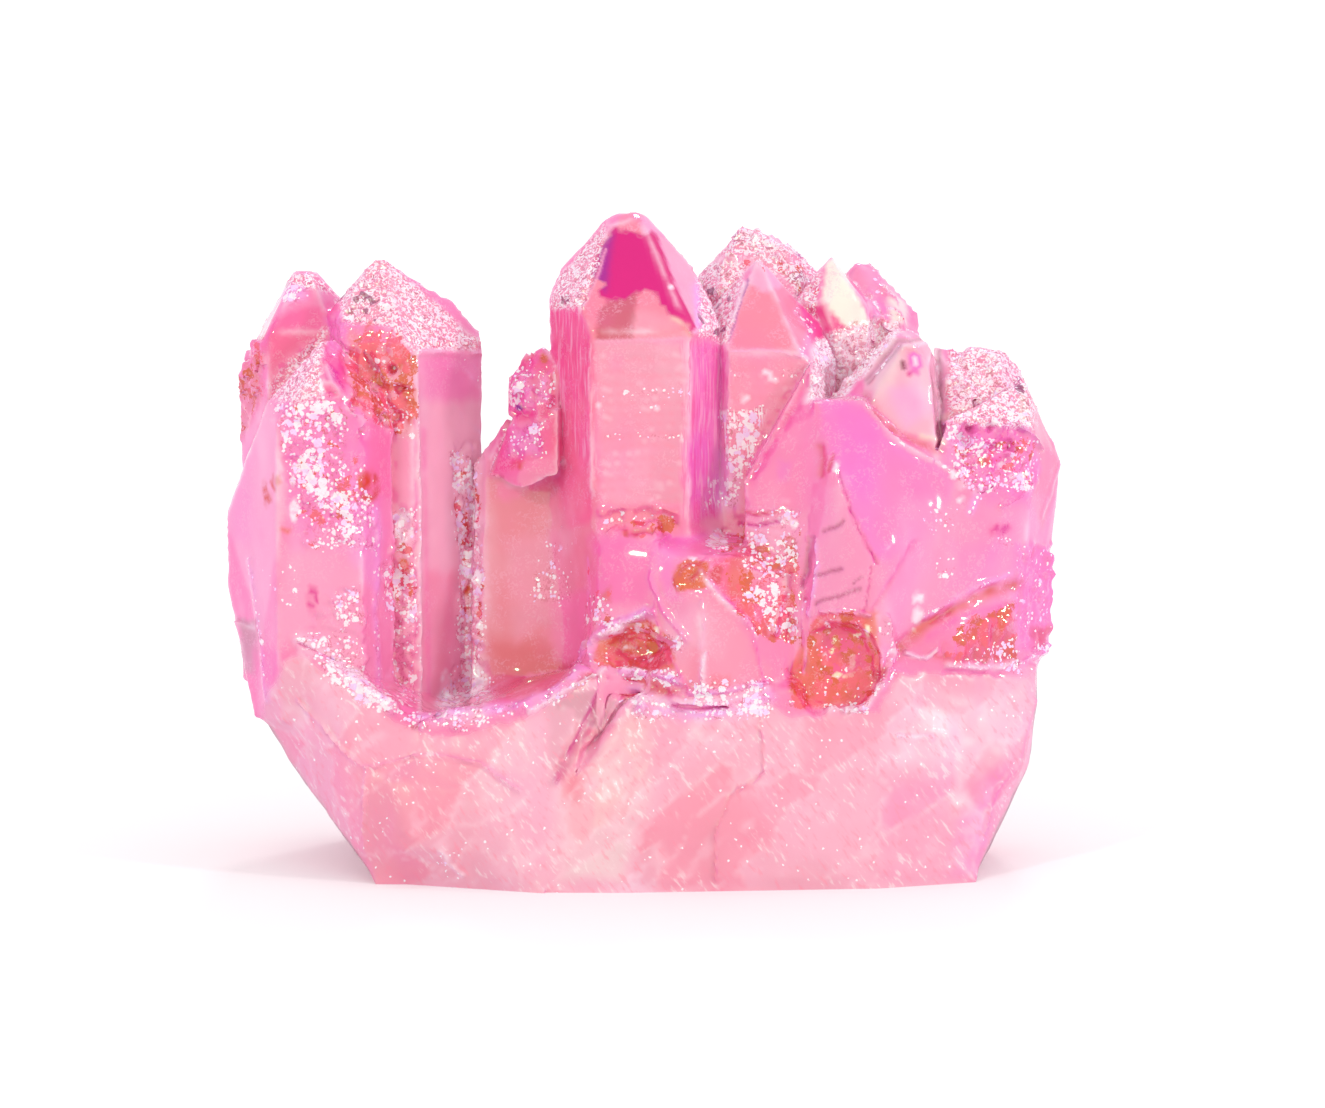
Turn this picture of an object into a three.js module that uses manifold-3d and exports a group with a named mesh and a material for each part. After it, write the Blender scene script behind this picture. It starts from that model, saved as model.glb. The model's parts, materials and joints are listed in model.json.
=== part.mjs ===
// A cluster of quartz crystals, grown together on a block of milky quartz.
//
// Millimetres, +Z up. The front is -Y and +X is to the right of it. The origin is in the
// middle of the cluster's box, on the surface that it rests on.
//
// Every crystal is cut out of space by its own flat faces: six prism faces along its axis and
// six cap faces, which lean in to the tip at the angle that all quartz has. Faces at unequal
// distances from the axis give the uneven hexagons and the off-centre or chisel-shaped tips.

import * as THREE from 'three';
import { ConvexGeometry } from 'three/addons/geometries/ConvexGeometry.js';
import { mergeVertices } from 'three/addons/utils/BufferGeometryUtils.js';
import Module from 'manifold-3d';

// ---------------------------------------------------------------- driving dimensions (mm)

const CAP_SLOPE = 51.8; // degrees between a cap face and the plane across the axis
const REST_HEIGHT = 0; // everything below this height is ground away flat
const WELD = 1e-4; // corners closer than this are one corner
const THROW = 12; // rays that look for the surface start this far out of it
const KNOB_LEAN = 0.4; // how unevenly small points lean
const KNOB_SKEW = 0.4; // how unequal their cap faces are, as a share of their height
const KNOB_LENGTH = 1.8; // how far they reach down into the surface, in heights
const PIT_SKEW = 0.5; // how unequal the walls of small pits are, as a share of their depth
const PLATE_TAPER = 0.74; // how much smaller the face of a plate is than its root
const PLATE_ROOT = 3; // how far a plate reaches back into the block
const PARALLEL = 1e-6; // planes closer to parallel than this do not meet

// ---------------------------------------------------------------- flat-faced solids

const UP = new THREE.Vector3(0, 0, 1);
const radians = THREE.MathUtils.degToRad;

/** The point where three planes meet, or null where two of them are parallel. */
function meet(a, b, c) {
  const across = new THREE.Vector3().crossVectors(b.normal, c.normal);
  const scale = a.normal.dot(across);
  if (Math.abs(scale) < PARALLEL) return null;
  const point = across.multiplyScalar(-a.constant);
  point.addScaledVector(new THREE.Vector3().crossVectors(c.normal, a.normal), -b.constant);
  point.addScaledVector(new THREE.Vector3().crossVectors(a.normal, b.normal), -c.constant);
  return point.divideScalar(scale);
}

/** The corners of the space that lies behind all of the planes. */
function cornersBehind(planes) {
  const corners = [];
  for (let i = 0; i < planes.length; i++) {
    for (let j = i + 1; j < planes.length; j++) {
      for (let k = j + 1; k < planes.length; k++) {
        const point = meet(planes[i], planes[j], planes[k]);
        if (!point) continue;
        const inside = planes.every((plane) => plane.distanceToPoint(point) < WELD);
        const known = corners.some((corner) => corner.distanceTo(point) < WELD);
        if (inside && !known) corners.push(point);
      }
    }
  }
  return corners;
}

/** A direction at an azimuth round the axis (0 is the front, 90 the right) and a tilt up. */
function facing(azimuth, tilt) {
  const a = radians(azimuth);
  const t = radians(tilt);
  return new THREE.Vector3(Math.sin(a) * Math.cos(t), -Math.cos(a) * Math.cos(t), Math.sin(t));
}

/**
 * A quartz crystal.
 * tip     where the axis ends, if no face cuts it off sooner
 * axis    the way that it grew
 * twist   the azimuth of prism face 0; the others follow every 60 degrees, anticlockwise
 * sides   the distance from the axis to each of the six prism faces
 * caps    how far down the axis from the tip each of the six cap faces crosses it
 * cuts    further faces: [azimuth, slope, how far down the axis it crosses]
 * length  from the tip down to the foot
 */
function crystal({ tip, axis = [0, 0, 1], twist = 0, sides, caps, cuts = [], length }) {
  const planes = [];
  const face = (normal, distance) => planes.push(new THREE.Plane(normal, -distance));
  for (let k = 0; k < 6; k++) {
    const azimuth = twist + 60 * k;
    face(facing(azimuth, 0), sides[k]);
    face(facing(azimuth, 90 - CAP_SLOPE), -caps[k] * Math.cos(radians(CAP_SLOPE)));
  }
  for (const [azimuth, slope, drop] of cuts) {
    face(facing(azimuth, 90 - slope), -drop * Math.cos(radians(slope)));
  }
  face(new THREE.Vector3(0, 0, -1), length);
  const turn = new THREE.Quaternion().setFromUnitVectors(UP, new THREE.Vector3(...axis).normalize());
  const corners = cornersBehind(planes).map((corner) => corner.applyQuaternion(turn));
  const end = new THREE.Vector3(...tip);
  return new ConvexGeometry(corners.map((corner) => corner.add(end)));
}

/** A broken block of rock: the convex solid on the given corners. */
function block(corners) {
  return new ConvexGeometry(corners.map((corner) => new THREE.Vector3(...corner)));
}

/** Even random numbers from 0 to 1, the same on every run. */
function dice(seed) {
  let state = seed;
  return () => {
    state = (state + 0x6d2b79f5) | 0;
    let t = Math.imul(state ^ (state >>> 15), 1 | state);
    t = (t + Math.imul(t ^ (t >>> 7), 61 | t)) ^ t;
    return ((t ^ (t >>> 14)) >>> 0) / 4294967296;
  };
}

/** Where rays thrown at a surface land: the points, each with the way that it faces. */
function scatter(surface, { at, spread, out, count, seed }) {
  const roll = dice(seed);
  const away = new THREE.Vector3(...out).normalize();
  const turn = new THREE.Quaternion().setFromUnitVectors(UP, away);
  const landed = [];
  for (let n = 0; n < count; n++) {
    const angle = 2 * Math.PI * roll();
    const reach = Math.sqrt((n + roll()) / count);
    const aim = new THREE.Vector3(spread[0] * Math.cos(angle), spread[1] * Math.sin(angle), 0);
    aim.multiplyScalar(reach).applyQuaternion(turn).add(new THREE.Vector3(...at));
    aim.addScaledVector(away, THROW);
    const ray = new THREE.Raycaster(aim, away.clone().negate(), 0, 2 * THROW);
    const [hit] = ray.intersectObject(surface);
    if (hit) landed.push({ point: hit.point, normal: hit.face.normal, roll });
  }
  return landed;
}

/** A small six-sided point, all cap and no prism, that stands this far out of the surface. */
function knob({ point, normal, roll }, stand) {
  const axis = normal.clone().add(UP).normalize();
  axis.x += KNOB_LEAN * (roll() - 0.5);
  axis.y += KNOB_LEAN * (roll() - 0.5);
  return crystal({
    tip: point.clone().addScaledVector(axis, stand).toArray(),
    axis: axis.toArray(),
    twist: 60 * roll(),
    sides: Array(6).fill(2 * stand),
    caps: Array.from({ length: 6 }, () => KNOB_SKEW * stand * roll()),
    length: KNOB_LENGTH * stand,
  });
}

/** What leaves a small six-sided pit of this depth when it is cut away from the surface. */
function pit({ point, normal, roll }, depth) {
  const inward = normal.clone().negate();
  return crystal({
    tip: point.clone().addScaledVector(inward, depth).toArray(),
    axis: inward.toArray(),
    twist: 60 * roll(),
    sides: Array(6).fill(2 * depth),
    caps: Array.from({ length: 6 }, () => -PIT_SKEW * depth * roll()),
    length: 2 * depth,
  });
}

/** What leaves a rounded hollow in a front: rings that narrow to the back, each with 8 corners. */
function scoop({ at, reach, depth, seed }) {
  const roll = dice(seed);
  const corners = [];
  for (const [back, share] of [[-depth, 1.1], [0, 1], [0.6 * depth, 0.75], [depth, 0.35]]) {
    for (let n = 0; n < 8; n++) {
      const angle = (2 * Math.PI * (n + 0.5 * roll())) / 8;
      const far = share * (0.88 + 0.24 * roll());
      const across = reach[0] * far * Math.cos(angle);
      const up = reach[1] * far * Math.sin(angle);
      corners.push([at[0] + across, at[1] + back, at[2] + up]);
    }
  }
  return block(corners);
}

/**
 * A low plate on the front of the block, where a layer has not broken off. Its corners are
 * [x, z]. Its face stands at y and leans back by the slope, and it grows out of the block.
 */
function plate(corners, y, slope) {
  const middle = corners.reduce((sum, [x, z]) => [sum[0] + x, sum[1] + z], [0, 0]);
  const [mx, mz] = middle.map((value) => value / corners.length);
  return block(corners.flatMap(([x, z]) => [
    [mx + PLATE_TAPER * (x - mx), y + slope * z, mz + PLATE_TAPER * (z - mz)],
    [x, y + slope * z + PLATE_ROOT, z],
  ]));
}

// ---------------------------------------------------------------- the crystals

const frontCrystals = [
  // tall, in the middle, with a chisel tip that two small facets blunt
  crystal({
    tip: [-0.4, 1, 55],
    sides: [7.7, 7.6, 4.3, 6, 5.6, 7.2],
    caps: [0, 0.2, 0, 0, -1.8, -1.8],
    cuts: [[-24, 24, 0.7], [30, 26, 0.8]],
    length: 44,
  }),
  // its neighbour on the right
  crystal({
    tip: [9.7, 2.5, 50.6],
    sides: [5.9, 6.8, 4.5, 5, 3.5, 5.2],
    caps: [0, 0, 0, 0, 0, 0],
    cuts: [[0, 40, 0.2]],
    length: 40,
  }),
  // big, on the left, with a ridge to the front
  crystal({
    tip: [-22.1, 2, 50.7],
    twist: -12,
    sides: [4.9, 6, 8.4, 6, 6, 4],
    caps: [0.8, 0, -4, 0, 0, 0],
    length: 40,
  }),
  // in front of it, low, with a broad face to the left
  crystal({
    tip: [-26.7, -3, 45.4],
    sides: [5.5, 5.8, 4.5, 5, 8.2, 5.8],
    caps: [-1.8, 0, 0, 0, 2.5, 0],
    cuts: [[-90, 70, -6], [-90, 103, 57]],
    length: 33,
  }),
  // behind those two, with a blunt tip
  crystal({
    tip: [-28.4, 6, 50],
    sides: [4.5, 4.6, 4.6, 5, 4.8, 4.8],
    caps: [0, 0, 0, 0, 0, 0],
    cuts: [[0, 8, 1.2], [-85, 62, -0.6]],
    length: 36,
  }),
  // broad and rough, behind the second crystal
  crystal({
    tip: [8.5, 9, 52.4],
    sides: [6, 6, 6, 5, 5, 4],
    caps: [0, -3, -3, 0, 0, 0],
    cuts: [[90, 26, 0], [-60, 20, 0.4]],
    length: 40,
  }),
  // a steep pale facet on the right of it
  crystal({
    tip: [15.8, 5.5, 50.3],
    twist: 25,
    sides: [3.6, 3.4, 3, 4, 4, 3],
    caps: [-1.2, 0, 0, 0, 0, 0],
    cuts: [[25, 72, -4.6]],
    length: 34,
  }),
  // knobby, behind that facet
  crystal({
    tip: [18.4, 10.5, 49.7],
    sides: [4.6, 4.6, 4.2, 5, 5, 4],
    caps: [0, -0.6, -0.6, 0, 0, 0],
    cuts: [[0, 12, 0.6]],
    length: 38,
  }),
  // right of the middle: a rough cap to the left and a smooth steep one to the front
  crystal({
    tip: [21.6, -2, 46],
    twist: -50,
    sides: [6, 5.6, 5, 5, 5, 7.4],
    caps: [0, -2, 0, 0, 0, 0],
    cuts: [[12, 70, -5.2], [82, 82, -14], [0, 4, 1.2]],
    length: 36,
  }),
  // the last one on the right, leaning out
  crystal({
    tip: [28, 1.5, 43.6],
    axis: [0.14, 0, 1],
    twist: -8,
    sides: [5.4, 5, 5.4, 5, 5, 5],
    caps: [0, -1.4, -4, 0, 0, 0],
    cuts: [[0, 10, 0.7], [82, 62, -5]],
    length: 34,
  }),
];

const backCrystals = [
  crystal({
    tip: [-19.6, 9.5, 43],
    axis: [-0.03, 0.11, 1],
    twist: 20,
    sides: [4.6, 4.2, 4.4, 5.2, 4.4, 4],
    caps: [0, 0, 0.6, 0, 0, 0.4],
    length: 32,
  }),
  crystal({
    tip: [-0.8, 11, 47.5],
    axis: [0, 0.09, 1],
    twist: 8,
    sides: [5, 4.6, 4.8, 4.4, 5.2, 4.4],
    caps: [0, 0.5, 0, 0, -0.8, 0],
    length: 38,
  }),
  crystal({
    tip: [25.2, 10, 41],
    axis: [0.18, 0.11, 1],
    twist: 15,
    sides: [4.4, 3.8, 4.2, 4.6, 4, 4.2],
    caps: [0, 0, -0.6, 0, 0, 0.4],
    length: 32,
  }),
  crystal({
    tip: [4.2, 14.6, 36],
    axis: [0.03, 0.21, 1],
    twist: -10,
    sides: [3.6, 3.2, 3.6, 3.4, 3.2, 3.6],
    caps: [0, 0, 0.5, 0, 0, 0],
    length: 28,
  }),
  crystal({
    tip: [-24, 12, 34],
    axis: [-0.21, 0.18, 1],
    twist: 28,
    sides: [3.8, 3.4, 3.6, 4, 3.4, 3.6],
    caps: [0, 0.4, 0, 0, -0.5, 0],
    length: 26,
  }),
  crystal({
    tip: [15, 15, 33],
    axis: [0.11, 0.25, 1],
    twist: 5,
    sides: [3.2, 3.4, 3, 3.4, 3.6, 3],
    caps: [0, 0, 0, -0.4, 0, 0],
    length: 26,
  }),
];

// ---------------------------------------------------------------- what fills between them

const shoulders = {
  // the big smooth body at the right front, its top face leaning out over the lower one
  front: block([
    [14.1, -7, 39.6], [18, -8, 39.9], [19.9, -8.5, 36.7], [25.8, -7, 33.3], [15.9, -12.5, 33.4],
    [19.2, -14.5, 27.1], [14.1, -11.5, 28.9], [13.4, -12, 20.2], [18, -14, 22.9],
    [21.4, -13, 28.3], [19.4, -13, 16.2], [13.4, -11, 15.9], [15, 0, 39], [25, 0, 33],
    [24, -2, 15], [14, 0, 15],
  ]),
  // the one between it and the second crystal
  between: block([
    [13.9, -4, 42.4], [11.3, -6, 37.8], [8.4, -7, 32.9], [8.4, -8, 28], [14.4, -10.8, 29.1],
    [14.8, -8.4, 36.6], [15.5, 0, 42], [9, 0, 33], [9, 0, 16], [16, 0, 16], [15, -10.8, 16],
    [9, -9, 16],
  ]),
  // under the right crystals
  right: block([
    [25.4, -6, 37.8], [32.4, -5, 36.8], [31.9, -1.5, 40.5], [35, 1, 33.4], [33, -2, 29],
    [31.1, -5, 26.8], [26.1, -8, 31.3], [25.3, -11, 18.8], [21.1, -11, 26.8], [31.1, -6, 14],
    [33, 0, 14], [26, 4, 36], [22, 4, 14], [33, 5, 32], [20, -11, 14],
  ]),
  // between the last two crystals
  rightGap: block([
    [24.4, -3.6, 37.5], [27.4, -3.6, 39], [27.4, 2, 42.5], [24.4, 2, 43], [24.4, -4, 28],
    [27.4, -4, 28], [24.4, 3, 28], [27.4, 3, 28],
  ]),
  rightColumn: block([
    [31.1, -5, 26.8], [32.9, -3, 27.2], [34.3, -1, 25.5], [34, -1, 18.2], [31.1, -6, 14],
    [34, 4, 17], [33.5, 5, 25], [30, 5, 26], [30, 4, 17],
  ]),
  // the wall at the back of the gap between the left and the middle
  gap: block([
    [-14, 1, 33.2], [-12.7, 0, 33.8], [-11.4, 1, 37.1], [-4.5, -1, 33.8], [-14.4, -2, 13],
    [-6.2, -4, 14.8], [-14, 7, 32], [-5, 8, 36], [-14, 8, 12], [-5, 8, 12],
  ]),
  gapLump: block([
    [-10.8, -0.4, 30], [-8, -1.4, 30.6], [-6, -1.6, 27], [-5.6, -2.6, 22], [-8, -3, 19.4],
    [-10.6, -2.4, 20.6], [-11.4, -1, 25], [-7, 3, 31], [-10, 3, 18], [-5, 3, 24],
  ]),
  // a stub on the left flank of the middle crystal, and the slab under it
  stub: block([
    [-8.3, 0, 43.3], [-11.2, 0, 40.7], [-11.3, -1, 37.4], [-7, -3, 37.4], [-9.5, -2.6, 40],
    [-6, 3, 42], [-11, 4, 38], [-7, -2, 41.6],
  ]),
  slab: block([
    [-7, -3.4, 38.4], [-10.8, -1.4, 37.6], [-12.9, -1, 32.5], [-10, -3.6, 31.6],
    [-7, -4, 32.9], [-5, 3, 38], [-12, 4, 33],
  ]),
  // the broken feet in the middle
  foot: block([
    [-4.6, -6, 28.5], [-3.9, -8.6, 27.4], [0.9, -9.4, 28.1], [1.5, -6, 30.5], [-4.4, -8.4, 22],
    [2.5, -11, 21], [2.6, -11.4, 16], [-4.2, -9.4, 17], [-4, 0, 16], [4, 0, 16], [4, 0, 30],
  ]),
  apex: block([
    [4.6, -12.5, 23.8], [0.9, -9.4, 27.4], [6.2, -10.4, 27.4], [0.5, -12, 15.1],
    [5.3, -14.2, 14.9], [11.2, -12.4, 15.1], [9.3, -12.8, 20.7], [13.4, -10, 26],
    [4, 0, 28], [13, 0, 27],
    [1, 0, 16], [13, 0, 16],
  ]),
};

// ---------------------------------------------------------------- the milky block under them

const rock = {
  left: block([
    [-28.6, -8.6, 19.4], [-32, -4, 14], [-34.2, -3, 20.6], [-30.2, -4, 9.4], [-26.6, -6, 6.2],
    [-24.6, -9, 2.8], [-22, -13, 0], [-13, -13, 0], [-23.1, -10.8, 16], [-16, -10.4, 12.6],
    [-23, -12.6, 9.8], [-14, -11.4, 9], [-33.6, 5, 21], [-32.4, 8, 13], [-27, 12, 5],
    [-22, 12, 0], [-12, 12, 0], [-12, 10, 12], [-28, 13, 18],
  ]),
  cleftWall: block([
    [-18.6, -11.4, 12.6], [-10.2, -12, 13.9], [-3.6, -10.6, 17.9], [-5.6, -9, 17.6],
    [-7.7, -15.4, 8.2], [-8.1, -17.2, 0], [-20, -12.8, 0], [-17.4, -14.2, 7.6], [-12, 0, 12.5],
    [-4, 0, 15], [-8, 8, 0], [-18, 8, 12], [-4, -10, 0],
  ]),
  right: block([
    [-1.5, -12, 15.2], [4.6, -13, 15], [10.4, -13.5, 15.9], [19.4, -13.5, 15.6],
    [21.1, -12.5, 18.2], [33, -5, 17.1], [32.5, -5, 8], [30.9, -6, 7], [28.3, -10, 1.5],
    [27.6, -12, 0], [19.4, -15, 0], [6.3, -16, 0], [-2, -17, 0], [-9, -16.8, 0],
    [-7, -14.6, 7], [6.3, -15.5, 5], [9.5, -15, 8.2], [-6, 10, 0], [28, 8, 0], [32, 6, 9],
    [33, 6, 17], [0, 10, 15],
  ]),
  back: block([
    [-26, 12, 6], [-24, 11, 0], [-29, 13, 17], [-20, 16.4, 19], [-12, 16.6, 13], [-14, 14.6, 0],
    [2, 17, 17], [4, 17.2, 8], [6, 15.6, 0], [12, 16.8, 16], [22, 15, 18], [24, 14, 6],
    [20, 13, 0], [29, 9, 12], [32, 3, 12], [28, 2, 0], [26, 11, 3], [-20, 6, 20], [20, 6, 19],
    [0, 6, 18], [-24, 2, 2], [-30, 8, 16],
  ]),
  // solid quartz behind all of these, so that nothing inside is hollow
  heart: block([
    [-27, -5, 13], [-22, -7, 0], [22, -9, 0], [24, -8, 14], [28, 2, 12], [26, 9, 0], [24, 9, 16],
    [-20, 9, 0], [-26, 9, 15], [-8, -9, 12], [-8, -9, 0],
  ]),
  heartTop: block([
    [-26, 1, 12], [-25, 1, 24], [-16, 1, 26], [28, 1, 24], [28, 1, 12], [26, 9, 12],
    [24, 9, 24], [-22, 9, 12], [-22, 9, 24],
  ]),
  backLedge: block([
    [-10, 15, 12], [-4, 17.2, 11], [0, 16.8, 3], [-8, 15, 2], [-6, 12, 19], [2, 12, 20],
    [-14, 12, 16], [4, 15.6, 14],
  ]),
};

const plates = [
  plate([[0.9, 13.7], [9.7, 14.3], [8.2, 9.5], [3.9, 5.3], [-1.3, 1.3], [-3.7, 5.3]], -17.1, 0.22),
  plate([[-22.6, 9.6], [-17.9, 10.6], [-13.7, 10], [-11.6, 7], [-13.7, 1.2], [-21, 1.2]], -15.3, 0.12),
];

// ---------------------------------------------------------------- hollows

const hollows = {
  // the slanting cleft in the milky block, deepest along its right side
  cleft: block([
    [-4.6, -16, 17.5], [-1, -16, 18], [-8.4, -18.5, 7.4], [-2.3, -11.2, 17], [-7, -14.4, 8.8],
  ]),
  // a small cave at the foot of the middle crystal
  cave: scoop({ at: [-0.8, -10.6, 19.4], reach: [3.4, 1.9], depth: 2.8, seed: 31 }),
  // the broken-out bowl at the foot of the smooth front body
  bowl: scoop({ at: [15.8, -13, 18.4], reach: [4.1, 4.2], depth: 2.8, seed: 33 }),
};

// ---------------------------------------------------------------- joining

const wasm = await Module();
wasm.setup();

/** A closed geometry as a solid that can be joined and cut. */
function solid(geometry) {
  geometry.deleteAttribute('normal');
  geometry.deleteAttribute('uv');
  const merged = mergeVertices(geometry, WELD);
  return new wasm.Manifold(new wasm.Mesh({
    numProp: 3,
    vertProperties: merged.attributes.position.array,
    triVerts: new Uint32Array(merged.index.array),
  }));
}

/** A solid as a geometry again. */
function geometryOf(body) {
  const mesh = body.getMesh();
  const geometry = new THREE.BufferGeometry();
  geometry.setAttribute('position', new THREE.BufferAttribute(mesh.vertProperties, 3));
  geometry.setIndex(new THREE.BufferAttribute(mesh.triVerts, 1));
  return geometry;
}

const join = (geometries) => geometries.map(solid).reduce((sum, piece) => sum.add(piece));

const grown = join([
  ...frontCrystals,
  ...backCrystals,
  ...Object.values(shoulders),
  ...Object.values(rock),
  ...plates,
]);
const surface = new THREE.Mesh(geometryOf(grown));

const crusts = [
  // the stub on the flank of the middle crystal
  { at: [-9.2, -1, 40.5], spread: [1.8, 2.6], out: [-0.4, -1, 0.3], count: 9, stand: 0.9, seed: 3 },
  // the knobby crystal at the back right
  { at: [20, 7.5, 46.5], spread: [2.6, 2.6], out: [0.5, -0.7, 0.8], count: 10, stand: 1, seed: 5 },
  // the broad rough one behind the second crystal
  { at: [9.6, 7, 50.4], spread: [5, 3], out: [0, -0.8, 1], count: 14, stand: 0.8, seed: 7 },
  // the shoulder and the top of the last crystal on the right
  { at: [29, -5, 34.6], spread: [3.4, 2.6], out: [0.1, -1, 0.1], count: 12, stand: 0.9, seed: 11 },
  { at: [28, -1, 41], spread: [3.6, 2.4], out: [0, -0.8, 1], count: 8, stand: 0.8, seed: 12 },
  // the left cap of the crystal right of the middle
  { at: [16.6, -4, 42.4], spread: [3, 2], out: [-0.6, -0.6, 0.8], count: 8, stand: 0.7, seed: 13 },
  // the flank on the left, at the back
  { at: [-32.4, 2, 40], spread: [2.4, 6], out: [-1, -0.3, 0], count: 9, stand: 0.7, seed: 15 },
  // the back of the block
  { at: [-4, 15, 13], spread: [12, 4], out: [0, 1, 0.4], count: 11, stand: 1.1, seed: 17 },
];
const pitted = [
  // the front of the low crystal on the left
  { at: [-26.6, -8.5, 34.5], spread: [2.8, 5], out: [0, -1, 0], count: 16, depth: 0.9, seed: 21 },
  // the front of the big one, high up
  { at: [-22.4, -3.5, 40], spread: [2.6, 3.6], out: [-0.2, -1, 0], count: 12, depth: 0.8, seed: 23 },
  // the wall at the back of the gap
  { at: [-8, -2, 25], spread: [1.8, 4], out: [0, -1, 0], count: 7, depth: 0.7, seed: 25 },
  // the shoulder of the last crystal on the right
  { at: [29, -5, 35.6], spread: [3, 2.4], out: [0.1, -1, 0.1], count: 7, depth: 0.8, seed: 27 },
];

const uneven = (size, roll) => size * (0.6 + 0.6 * roll());
const points = crusts.flatMap((patch) =>
  scatter(surface, patch).map((spot) => knob(spot, uneven(patch.stand, spot.roll))));
const pits = pitted.flatMap((patch) =>
  scatter(surface, patch).map((spot) => pit(spot, uneven(patch.depth, spot.roll))));
const below = new THREE.BoxGeometry(200, 200, 100).translate(0, 0, REST_HEIGHT - 50);
const joined = grown
  .add(join(points))
  .subtract(join([...pits, ...Object.values(hollows), below]));

// ---------------------------------------------------------------- the part

const shape = geometryOf(joined);
shape.computeBoundingBox();
const middle = shape.boundingBox.getCenter(new THREE.Vector3());
shape.translate(-middle.x, -middle.y, -REST_HEIGHT);

const cluster = new THREE.Mesh(
  shape,
  new THREE.MeshStandardMaterial({ name: 'quartz', color: 0xff86b8, roughness: 0.2, metalness: 0 }),
);
cluster.name = 'quartz_cluster';

const part = new THREE.Group();
part.add(cluster);

export default part;
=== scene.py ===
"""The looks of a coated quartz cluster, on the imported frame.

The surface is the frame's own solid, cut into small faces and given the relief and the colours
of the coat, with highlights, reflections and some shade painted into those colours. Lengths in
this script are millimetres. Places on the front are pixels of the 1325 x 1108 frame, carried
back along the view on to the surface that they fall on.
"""

import json
import math

import bmesh
import bpy
import numpy as np
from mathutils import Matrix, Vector
from mathutils.bvhtree import BVHTree
from mathutils.geometry import delaunay_2d_cdt
from mathutils.kdtree import KDTree

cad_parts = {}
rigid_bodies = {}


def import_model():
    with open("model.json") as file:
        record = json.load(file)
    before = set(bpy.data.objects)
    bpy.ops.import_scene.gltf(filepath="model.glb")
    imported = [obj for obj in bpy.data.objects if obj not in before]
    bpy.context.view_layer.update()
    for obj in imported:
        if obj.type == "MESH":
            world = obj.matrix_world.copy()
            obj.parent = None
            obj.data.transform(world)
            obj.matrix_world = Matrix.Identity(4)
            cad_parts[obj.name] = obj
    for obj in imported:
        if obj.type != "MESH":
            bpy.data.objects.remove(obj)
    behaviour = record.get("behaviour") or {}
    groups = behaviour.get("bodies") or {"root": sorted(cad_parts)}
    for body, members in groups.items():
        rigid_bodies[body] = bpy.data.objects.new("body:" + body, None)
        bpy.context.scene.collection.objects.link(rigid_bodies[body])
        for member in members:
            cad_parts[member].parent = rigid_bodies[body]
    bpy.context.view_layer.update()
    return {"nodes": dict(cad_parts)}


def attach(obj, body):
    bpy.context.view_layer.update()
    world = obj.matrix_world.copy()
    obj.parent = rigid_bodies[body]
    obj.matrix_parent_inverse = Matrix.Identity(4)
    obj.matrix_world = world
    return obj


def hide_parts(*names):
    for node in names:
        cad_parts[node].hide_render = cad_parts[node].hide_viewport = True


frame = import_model()

MM = 0.001

# ---------------- the view

AIM = np.array((1.55, 0.0, 25.7))  # the middle of the frame falls here
DISTANCE = 700.0
ELEVATION = math.radians(8)
SCALE = 11.94  # pixels to a millimetre at the aim
FRAME = (1325, 1108)
RIGHT = np.array((1.0, 0.0, 0.0))
BACK = np.array((0.0, -math.cos(ELEVATION), math.sin(ELEVATION)))
ABOVE = np.array((0.0, math.sin(ELEVATION), math.cos(ELEVATION)))
EYE = AIM + DISTANCE * BACK


def to_frame(points):
    """Where points fall in the frame, in pixels."""
    off = points - AIM
    near = DISTANCE / (DISTANCE - off @ BACK)
    px = FRAME[0] / 2 + SCALE * near * (off @ RIGHT)
    py = FRAME[1] / 2 - SCALE * near * (off @ ABOVE)
    return np.stack((px, py), axis=1)


# ---------------- noise


def dice(cells, salt):
    """An even number from 0 to 1 for every whole-numbered cell."""
    c = cells.astype(np.int64)
    h = c[..., 0] * 73856093 ^ c[..., 1] * 19349663 ^ c[..., 2] * 83492791 ^ (salt + 1) * 40503
    h = (h ^ (h >> 13)) * 1274126177 & 0xFFFFFFFF
    h = (h ^ (h >> 16)) * 2246822519 & 0xFFFFFFFF
    return (h ^ (h >> 15)) / 2.0**32


def cloud(points, size, salt):
    """Soft noise from -1 to 1, with lumps of this size."""
    p = points / size
    base = np.floor(p)
    f = p - base
    f = f * f * (3 - 2 * f)
    total = np.zeros(len(points))
    for corner in np.ndindex(2, 2, 2):
        weight = np.prod(np.where(corner, f, 1 - f), axis=1)
        total += weight * dice(base + corner, salt)
    return 2 * total - 1


def clouds(points, size, salt, octaves=3):
    """Soft noise of several sizes, from about -1 to 1."""
    return sum(cloud(points, size / 2**n, salt + n) / 2**n for n in range(octaves)) / 1.5


def grains(points, size, salt):
    """Distance to the nearest grain's middle and to the next one's, in grain sizes, and a
    number for the grain."""
    p = points / size
    base = np.floor(p)
    first = np.full(len(points), 9.0)
    second = np.full(len(points), 9.0)
    which = np.zeros(len(points))
    for step in np.ndindex(3, 3, 3):
        cell = base + step - 1
        middle = cell + np.stack([dice(cell, salt + n) for n in range(3)], axis=1)
        far = np.linalg.norm(p - middle, axis=1)
        closer = far < first
        second = np.where(closer, first, np.minimum(second, far))
        which = np.where(closer, dice(cell, salt + 7), which)
        first = np.where(closer, far, first)
    return first, second, which


# ---------------- marks on the front


def smooth(value, low, high):
    """0 below low, 1 above high, and a soft step between."""
    t = np.clip((value - low) / (high - low), 0, 1)
    return t * t * (3 - 2 * t)


def stretches(line, closed):
    """The straight stretches of a line of points."""
    ends = line[1:] + line[:1] if closed else line[1:]
    return [(np.array(a, float), np.array(b, float)) for a, b in zip(line, ends)]


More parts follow.
